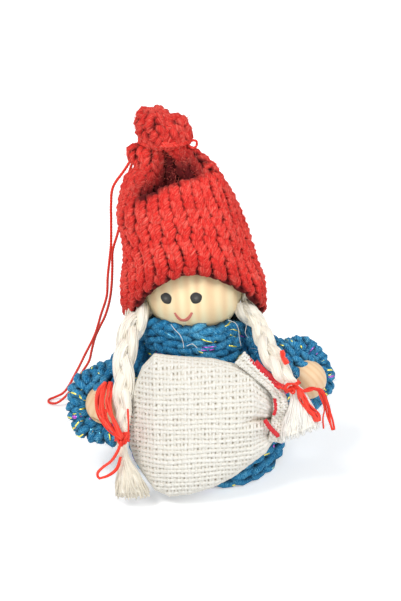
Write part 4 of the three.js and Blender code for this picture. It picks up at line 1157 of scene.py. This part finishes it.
# Each band of floss has its count of threads, its half width, the radius of a thread and its
# points from the tie.
BOWS = {
    "left": [
        (10, 1.0, 0.22, [
            (0.3, -2.8, 1.2), (-2.5, -1.6, 3.2), (-4.7, 0.7, 5.4), (-5.5, 2.9, 8.2), (-5, 5.2, 10.2),
            (-4.2, 6.9, 11),
        ]),
        (9, 0.9, 0.21, [
            (0.1, -2.8, 1.5), (-1.4, -1.8, 3.8), (-2.9, 0, 5.8), (-3.5, 2.5, 8), (-3.3, 4.7, 9.8),
            (-3.2, 6.9, 11.2),
        ]),
        (4, 0.34, 0.22, [
            (0.1, -3.2, 0.7), (-0.9, -3.6, -2), (-2.4, -3.6, -4.6), (-4.7, -3.6, -6.4),
            (-6, -3.6, -8.1), (-5.6, -3.8, -9.3), (-3.5, -4.1, -8.6), (-1.2, -4.1, -6.6),
            (-0.1, -3.9, -3.4),
        ]),
        (2, 0.2, 0.17, [(0.6, -2.6, 0.6), (1.5, -2.6, 1.9), (1.8, -2.1, 5.6), (1.7, -1.6, 8.5)]),
        (2, 0.3, 0.16, [(-0.6, -3, 1), (-1.8, -2.4, 3.2), (-3.1, -0.6, 5.4), (-3.6, 1.2, 7)]),
    ],
    "right": [
        (5, 0.34, 0.2, [
            (-2, -3.2, 0.9), (-1.5, -2.9, 1.9), (0.1, -2.2, 1.7), (2.3, -1.9, -0.2), (4.8, -0.8, -0.5),
        ]),
        (13, 1.0, 0.22, [
            (1.4, -2.1, 0.4), (2.5, -2.4, -2.2), (4, -2.9, -4.4), (5.8, -3.2, -6.1), (6.1, -3.4, -7.6),
        ]),
        (7, 0.75, 0.2, [
            (2.7, -1.6, -0.4), (4.8, -0.1, -0.5), (7, 0.7, -1.8), (8.5, 1, -5.1), (9.4, 1, -8.9),
            (10.4, 0.8, -12.4),
        ]),
        (2, 0.25, 0.17, [(6.4, 0.3, -1.6), (8, 0.7, -6.4), (7.8, 0.7, -9.1), (8.1, 0.5, -11.9)]),
        (3, 0.3, 0.2, [(0.4, -2.6, 0.6), (-1.9, -2.9, 0.8), (-3.5, -1.9, 1)]),
        (6, 0.6, 0.22, [(-2.7, 1.6, 8.8), (-2.3, 1.0, 7.4), (-1.5, 0.3, 5.8)]),
    ],
}


def tie(name):
    hair = BRAIDS[name]
    line = braid_line(hair)
    axis = unit(line[-1] - line[-4])
    side, other = frame_across(axis)
    at = hair["tie"]
    inner = hair["half"][-1] + 0.2
    rng = np.random.default_rng(61 if name == "left" else 62)
    skein = Skein()
    turns, knots = (5, 7) if name == "left" else (2, 2)
    wrap = ring_path(at, inner, inner, turns, 150, rise=0.4 * turns, first=side, second=other)
    wrap = wrap + 0.06 * rng.normal(size=wrap.shape)
    skein.tubes(wrap, 0.27, sides=8, hint=axis, twist=(2, 0.3, 1.4))
    front = at + np.array([0.0, -inner - 0.5, 0.2])
    for _ in range(knots):
        first, second = frame_across(unit(rng.normal(size=3)))
        centre = front + 0.35 * rng.normal(size=3)
        knot = ring_path(centre, 0.8, 0.6, 1, 20, first=first, second=second)
        skein.tubes(knot, 0.24, sides=6, shade=0.45)
    for count, half, radius, points in BOWS[name]:
        band = at + curve(points, 40)
        spread = half * np.interp(np.linspace(0, 1, 40), [0, 0.25, 0.85, 1], [0.45, 1, 1, 0.8])
        bundle(skein, band, count, spread, 0.6 * spread, radius, rng, waves=1.3, shade=(0.3, 0.8), sides=6)
        roots = np.repeat(band[4::4], 2, axis=0)
        away = unit(rng.normal(size=roots.shape))
        fuzz(skein, roots, away, rng, length=(0.8, 2.2), radius=0.03, shade=(0.5, 0.8))
    skein.piece("floss_" + name, "braid_" + name, RED_FLOSS, "red_floss", ["tie_" + name])


# Sack

SACK_BOTTOM = 1.2
SACK_RISE = 34.4
SACK_LEFT = -19
SACK_RIGHT = 15.6
SACK_THICK = 5.6
# The sack's middle plane leans back: how far in front of the axis it is at two heights.
SACK_LEAN = ((12.46, 21.97), (35.6, 16.67))
# Each row is a share of the width, the lower and upper edge there as shares of the height,
# and the share of the full thickness.
SACK_OUTLINE = np.array([
    [0, 0.38, 0.6, 0.06], [0.04, 0.26, 0.8, 0.22], [0.1, 0.165, 0.95, 0.46], [0.18, 0.06, 1.04, 0.72],
    [0.28, 0.02, 1.03, 0.88], [0.42, 0.04, 1.02, 0.98], [0.58, 0.09, 1.01, 1],
    [0.73, 0.17, 0.97, 0.94], [0.86, 0.27, 0.9, 0.8], [0.95, 0.33, 0.81, 0.56], [1, 0.4, 0.73, 0.28],
    [1.03, 0.55, 0.63, 0.2],
])
SACK_SLOPE = math.atan2(SACK_LEAN[0][1] - SACK_LEAN[1][1], SACK_LEAN[1][0] - SACK_LEAN[0][0])
SACK_UP = np.array([0.0, math.sin(SACK_SLOPE), math.cos(SACK_SLOPE)])
SACK_OUT = np.array([0.0, -math.cos(SACK_SLOPE), math.sin(SACK_SLOPE)])


def sack_plane(height):
    (low, near), (high, far) = SACK_LEAN
    return -lerp(near, far, (height - low) / (high - low))


def sack_edges(share):
    """The middle height, half height and fullness of the sack at a share of its width."""
    low, high, full = columns(SACK_OUTLINE, share)
    return SACK_BOTTOM + (low + high) / 2 * SACK_RISE, (high - low) / 2 * SACK_RISE, full


def sack_crease(share, level, face):
    """The fold in front that runs into the neck, along which the threads are also painted darker as painted
    shade.
    """
    return bump(level, 0.06, 0.09) * smoothstep(share, 0.76, 0.93) * (face > 0)


def sack_point(share, level, face, lift=0.0):
    """A point of the sack: share of its width, level from -1 at its lower edge to 1 at its
    upper one, and face 1 in front or -1 behind."""
    height, half, full = sack_edges(share)
    x = lerp(SACK_LEFT, SACK_RIGHT, share)
    level = np.clip(level, -1, 1)
    swell = np.sqrt(np.clip(1 - np.abs(level) ** (2 / 0.85), 0, 1))
    thick = full * SACK_THICK
    gather = smoothstep(share, 0.72, 1.0)
    pleat = gather * 0.7 * np.cos(9 * level + 0.6) * swell
    fold = -2.8 * sack_crease(share, level, face)
    soft = 0.22 * np.sin(9 * share + 3 * level + 1) + 0.18 * np.sin(5 * level - 7 * share)
    out = 0.55 * thick + face * (thick * swell + (pleat + fold + soft) * swell + lift)
    middle = np.stack([x + 0 * level, sack_plane(height) + 0 * level, height + 0 * level], axis=-1)
    return shifted(middle, half * level, SACK_UP, out, SACK_OUT)


def row_tilt(share):
    """How far a row of the weave sags towards the sack's left end."""
    return -1.6 * np.clip(1 - share / 0.6, 0, 1) ** 1.3


# How far apart the cloth's upright threads and its rows are, how far they pass over and under
# each other, and the radii of an upright thread, a row and an edge.
WARP = 0.83
WEFT = 1.22
WEAVE = 0.13
WARP_RADIUS = 0.42
WEFT_RADIUS = 0.54
EDGE_RADIUS = 0.45
RUFFLE_RADIUS = 0.34


# A thread of the sack's cloth. Its light is painted shade: 1 leaves it lit, less paints it darker.
def cloth_thread(skein, path, radius, rng, light=None, sides=8):
    shade = rng.uniform(0.35, 0.75)
    skein.tubes(path, radius, sides=sides, hint=SACK_OUT, shade=shade, front=light)


def sack():
    """Upright threads and rows that pass over and under each other, in front and behind, and
    a few along both edges."""
    first_x, first_row = SACK_LEFT + 0.4, SACK_BOTTOM + 0.4
    skein = Skein()
    rng = np.random.default_rng(71)
    # Painted shade: every thread is painted darker along the crease, and its sides towards the cloth's deep
    # colour.
    for number, x in enumerate(np.arange(first_x, SACK_RIGHT + 0.6, WARP)):
        share = (x - SACK_LEFT) / (SACK_RIGHT - SACK_LEFT)
        centre, half, _ = sack_edges(share)
        count = max(int(2 * half / WEFT), 2)
        level = np.sin(np.linspace(-math.pi / 2, math.pi / 2, 7 * count))
        height = centre + level * half
        over = WEAVE * np.cos(math.pi * ((height - row_tilt(share) - first_row) / WEFT + number))
        thread = WARP_RADIUS * (1 - 0.1 * bump(share, 0.55, 0.03)) * rng.uniform(0.95, 1.05)
        for face in (1, -1):
            jitter = 0.003 * np.sin(0.6 * height + rng.uniform(0, 6.3)) + rng.normal() * 0.0012
            path = sack_point(share + jitter, level, face, over)
            cloth_thread(skein, path, thread, rng, 1 - 0.85 * sack_crease(share, level, face))
    grid = np.linspace(0.0, 1.03, 260)
    centre, half, _ = sack_edges(grid)
    x = lerp(SACK_LEFT, SACK_RIGHT, grid)
    for number, row in enumerate(np.arange(first_row, SACK_BOTTOM + SACK_RISE + 1.6, WEFT)):
        level = (row + row_tilt(grid) - centre) / half
        level = np.where(grid > 0.86, np.interp(0.86, grid, level), level)
        inside = np.abs(level) < 0.95
        if inside.sum() < 6:
            continue
        share, level = grid[inside], level[inside]
        over = -WEAVE * np.cos(math.pi * ((x[inside] - first_x) / WARP + number))
        thread = WEFT_RADIUS * (1 - 0.1 * bump(number, 14, 2)) * rng.uniform(0.95, 1.05)
        for face in (1, -1):
            jitter = 0.008 * np.sin(0.5 * x[inside] + rng.uniform(0, 6.3))
            path = sack_point(share, level + jitter, face, over)
            cloth_thread(skein, path, thread, rng, 1 - 0.85 * sack_crease(share, level, face))
    over = -WEAVE * np.cos(math.pi * (x - first_x) / WARP)
    for level in (0.998, 0.975, 0.935):
        for end, face in ((1, 1), (1, -1), (-1, 1), (-1, -1)):
            path = sack_point(grid, np.full(len(grid), end * level), face, over)
            skein.tubes(path, EDGE_RADIUS, sides=8, hint=SACK_OUT, shade=0.55, front=1)
    made = skein.piece("sack_weave", "torso", SACK_THREAD, "sack_cloth", ["sack_cloth"])
    backing = Skein()
    share, turn = np.meshgrid(np.linspace(0.005, 1.0, 60), circle(64), indexing="ij")
    face = np.where(np.cos(turn) >= 0, 1, -1)
    backing.sheet(sack_point(share, np.sin(turn) * 0.985, face, -0.36), closed_across=True)
    backing.piece("sack_filling", "torso", SACK_INSIDE, "wadding", ["sack_stuffing"])


# The ruffle beyond the cord lies back along the sack's upper edge, and its lower part
# hangs out below the cord.
RUFFLE_HEM = [
    (8.6, -19.5, 38.4), (10.7, -20, 36.2), (13.4, -20.6, 33.5), (16.1, -21.2, 30.9), (18.3, -21.7, 28.6),
    (19.3, -22.8, 25.6), (19.2, -23.8, 21.5), (18.2, -24.6, 16),
]
RUFFLE_ROOT = [
    (6.4, -21, 36.2), (9, -21.6, 34.5), (11.6, -22, 32.3), (14, -22.4, 30.3), (15.6, -22.8, 28.2),
    (15.8, -23.4, 25.2), (15.3, -24.4, 21.5), (14.6, -25.2, 17.4),
]


def ruffle_point(along, out):
    """A point of the ruffle, along its hem and out from the cord to the hem."""
    root, hem = (along_line(curve(points, 60), along) for points in (RUFFLE_ROOT, RUFFLE_HEM))
    flat = 0.7 * np.abs(np.sin(TURN * out))
    wavy = 0.6 * np.sin(TURN * (3.4 * along + 0.3 * out))
    lift = lerp(flat, wavy, smoothstep(along, 0.55, 0.75))
    return lerp(root, hem, np.asarray(out)[..., None]) + lift[..., None] * SACK_OUT


def ruffle():
    skein = Skein()
    rng = np.random.default_rng(81)
    count_along, count_out = 40, 5
    for number in range(count_along):
        out = np.linspace(0, 1, 21)
        over = 0.14 * np.cos(math.pi * (out * count_out + number))
        path = ruffle_point(np.full(21, (number + 0.5) / count_along), out) + over[:, None] * SACK_OUT
        # Painted shade darkens the threads along the ruffle's middle fold.
        cloth_thread(skein, path, RUFFLE_RADIUS, rng, 1 - 0.8 * bump(out, 0.5, 0.09))
    for number in range(count_out):
        along = np.linspace(0, 1, 121)
        over = -0.14 * np.cos(math.pi * (along * count_along + number))
        path = ruffle_point(along, np.full(121, (number + 0.6) / count_out)) + over[:, None] * SACK_OUT
        cloth_thread(skein, path, RUFFLE_RADIUS, rng, sides=6)
    grid = ruffle_point(*np.meshgrid(np.linspace(0, 1, 60), np.linspace(0.03, 0.97, 16), indexing="ij"))
    skein.sheet(grid - 0.12 * SACK_OUT, shade=0.4)
    skein.piece("sack_ruffle", "torso", SACK_THREAD, "sack_cloth")


# Each end of the sack's cord has its radius and its points.
CORD_ENDS = [
    (0.62, [
        (9.7, -20.2, 36.7), (11.8, -20.9, 34.6), (13.8, -21.4, 32.5), (15.8, -21.9, 30.9),
        (17.3, -22.4, 30),
    ]),
    (0.62, [
        (11.4, -20.2, 36.1), (13.2, -20.9, 34.3), (15, -21.4, 32.8), (16.8, -21.9, 31.4),
        (18.4, -22.4, 30.4),
    ]),
    (0.55, [(13.6, -26, 23.4), (14.7, -26.6, 21.9), (16, -26.6, 20.3), (16.9, -26.4, 19.2)]),
    (0.4, [(16, -23.6, 27.9), (16.3, -24.0, 25.6), (15.9, -24.4, 23.8)]),
]


def sack_cord():
    """The cord's turns round the neck, its ends along the ruffle, and its bright tail."""
    skein = Skein()
    middle = np.array([SACK_RIGHT + 1.7, sack_plane(21.5) - 0.3, 21.5])
    wrap = ring_path(middle, 2.35, 2.35, 2, 60, rise=1.0, first=SACK_UP, second=SACK_OUT)
    skein.tubes(wrap, 0.45, sides=8, hint=ACROSS, twist=(2, 0.3, 2))
    for radius, points in CORD_ENDS:
        skein.tubes(curve(points, 40), radius, sides=8, twist=(3, 0.35, 2.4))
    skein.piece("sack_cord_yarn", "torso", CORD_YARN, "red_floss", ["sack_cord"])


# Hanging loop, its points in metres

THREAD_POINTS = [
    (-0.0172, 0.0026, 0.0823), (-0.0202, 0.0036, 0.0772), (-0.0236, 0.005, 0.0719),
    (-0.0243, 0.006, 0.0671), (-0.0245, 0.007, 0.0629), (-0.0249, 0.0085, 0.0554),
    (-0.0255, 0.01, 0.0511), (-0.0263, 0.0115, 0.0454), (-0.0269, 0.013, 0.0393),
    (-0.0289, 0.0155, 0.0327), (-0.031, 0.018, 0.0257), (-0.0344, 0.0205, 0.0181),
    (-0.0373, 0.023, 0.0116), (-0.0416, 0.026, 0.0034), (-0.0446, 0.0276, 0.0009),
    (-0.0462, 0.0266, 0.0006), (-0.0459, 0.0246, 0.0007), (-0.0436, 0.0234, 0.0012),
    (-0.0402, 0.0238, 0.004), (-0.0356, 0.0239, 0.0113), (-0.0336, 0.0234, 0.0148),
    (-0.0326, 0.0224, 0.0187), (-0.0314, 0.0214, 0.0231), (-0.0298, 0.0202, 0.027),
    (-0.0281, 0.0186, 0.0309), (-0.0266, 0.0168, 0.036), (-0.0257, 0.0152, 0.0413),
    (-0.0252, 0.0139, 0.0474), (-0.0249, 0.0129, 0.0521), (-0.0234, 0.012, 0.0572),
    (-0.0216, 0.011, 0.064), (-0.0204, 0.0096, 0.071), (-0.0188, 0.0072, 0.0775),
    (-0.016, 0.0044, 0.0825),
]
THREAD_RADIUS = 0.35


def hanging_loop():
    skein = Skein()
    line = curve(np.array(THREAD_POINTS) / MM, 620)
    skein.tubes(line, THREAD_RADIUS, sides=8, twist=(2, 0.36, 1.7))
    made = skein.piece("hanging_thread", "torso", RED_FLOSS, "red_thread", ["hanging_loop"])


# Floor, backdrop and light, in metres

FLOOR_HALF = 15.0


def floor():
    """A pale floor that grows brighter away from the doll, where only the camera sees it."""
    mesh = bpy.data.meshes.new("floor")
    corners = [(x * FLOOR_HALF, y * FLOOR_HALF, 0) for x, y in ((-1, -1), (1, -1), (1, 1), (-1, 1))]
    mesh.from_pydata(corners, [], [(0, 1, 2, 3)])
    finish = Finish("floor", Roughness=0.9, Specular_IOR_Level=0.1)
    finish.shader.inputs["Base Color"].default_value = (0.93, 0.94, 0.95, 1)
    rays = finish.node("LightPath").outputs
    seen = finish.maths("MAXIMUM", rays["Is Camera Ray"], rays["Is Glossy Ray"])
    place = finish.node("NewGeometry").outputs["Position"]
    away = finish.node("VectorMath", {0: place}, operation="LENGTH").outputs["Value"]
    ends = {"Value": away, "From Min": 0.07, "From Max": 0.4, "To Min": 0.4, "To Max": 0.85}
    lit = finish.node("MapRange", ends).outputs["Result"]
    inputs = {"Color": (1, 1, 1, 1), "Strength": finish.maths("MULTIPLY", seen, lit)}
    glow = finish.node("Emission", inputs)
    both = finish.node("AddShader", {0: finish.shader.outputs[0], 1: glow.outputs[0]})
    finish.tree.links.new(both.outputs[0], finish.output.inputs[0])
    mesh.materials.append(finish.material)
    placed("floor", mesh)


def lamp(name, place, aim, size, power, colour):
    data = bpy.data.lights.new(name, "AREA")
    data.shape = "DISK"
    data.size = size
    data.energy = power
    data.color = colour
    direction = unit(np.array(aim) - np.array(place))
    turn = (math.acos(-direction[2]), 0, math.atan2(-direction[0], direction[1]))
    placed(name, data, place, turn)


# The world's light, and what the camera and reflections see on top of it.
WORLD_LIGHT = 0.38
WORLD_SEEN = 0.6


def world():
    made = bpy.data.worlds.new("world")
    made.use_nodes = True
    tree = made.node_tree
    rays = node(tree, "LightPath").outputs
    ends = {0: rays["Is Camera Ray"], 1: rays["Is Glossy Ray"]}
    seen = node(tree, "Math", ends, operation="MAXIMUM").outputs[0]
    ends = {0: seen, 1: WORLD_SEEN, 2: WORLD_LIGHT}
    level = node(tree, "Math", ends, operation="MULTIPLY_ADD").outputs[0]
    back = tree.nodes["Background"]
    back.inputs["Color"].default_value = (0.94, 0.97, 1, 1)
    tree.links.new(level, back.inputs["Strength"])
    bpy.context.scene.world = made


def carried_materials():
    """Finishes for the solids that show as they are or lie inside."""
    steel = Finish("wire", Roughness=0.35, Metallic=1.0)
    drawn = steel.noise(steel.node("TexCoord").outputs["Object"], 900, 2.0)
    steel.colour(steel.ramp(drawn, [(0.3, 120, 120, 122), (0.7, 176, 176, 178)]))
    plain = Finish("plain wood", Roughness=0.65)
    place = plain.stretched(plain.node("TexCoord").outputs["Object"], (160, 160, 24))
    grain = plain.noise(place, 3.0, 4.0, 0.6)
    plain.colour(plain.ramp(grain, [(0.3, 206, 176, 130), (0.7, 230, 206, 166)]))
    plain.bump(grain, 0.05)
    wires = {"arm_wire_" + side: steel for side in ("centre", "left", "right")}
    for name, finish in {**wires, "body_core": plain}.items():
        for slot in frame["nodes"][name].material_slots:
            slot.material = finish.material


hanging_loop()
bead("head_wood", "torso", BALL, HEAD_RADIUS, HEAD_BORE, np.array([LEAN, 0, 1]), HEAD_WOOD, "head_bead", 0.5)
eye(-1, "eye_left")
eye(1, "eye_right")
mouth()
hat()
tuft()
hat_tie()
dress()
for arm_name, arm_place in ARMS.items():
    sleeve(arm_name)
    hand_line = hand_centre(arm_place) - arm_place["shoulder"]
    bead(
        "hand_wood_" + arm_name, "arm_" + arm_name, hand_centre(arm_place), HAND_RADIUS, HAND_BORE, hand_line,
        HAND_WOOD, "hand_bead_" + arm_name, 0.35,
    )
hank()
for braid_name in BRAIDS:
    braid(braid_name)
    tassel(braid_name)
    tie(braid_name)
sack()
ruffle()
sack_cord()
carried_materials()
floor()
world()
lamp("key", (-0.45, -0.45, 0.85), (0, 0, 0.04), 0.35, 5.2, (1, 0.985, 0.96))
lamp("fill", (0.6, -0.45, 0.65), (0, 0, 0.04), 0.45, 3.7, (0.98, 0.99, 1))
lamp("front", (-0.1, -0.6, 0.06), (0, 0, 0.045), 0.3, 0.55, (1, 0.94, 0.84))

bpy.context.scene.view_settings.view_transform = "Standard"
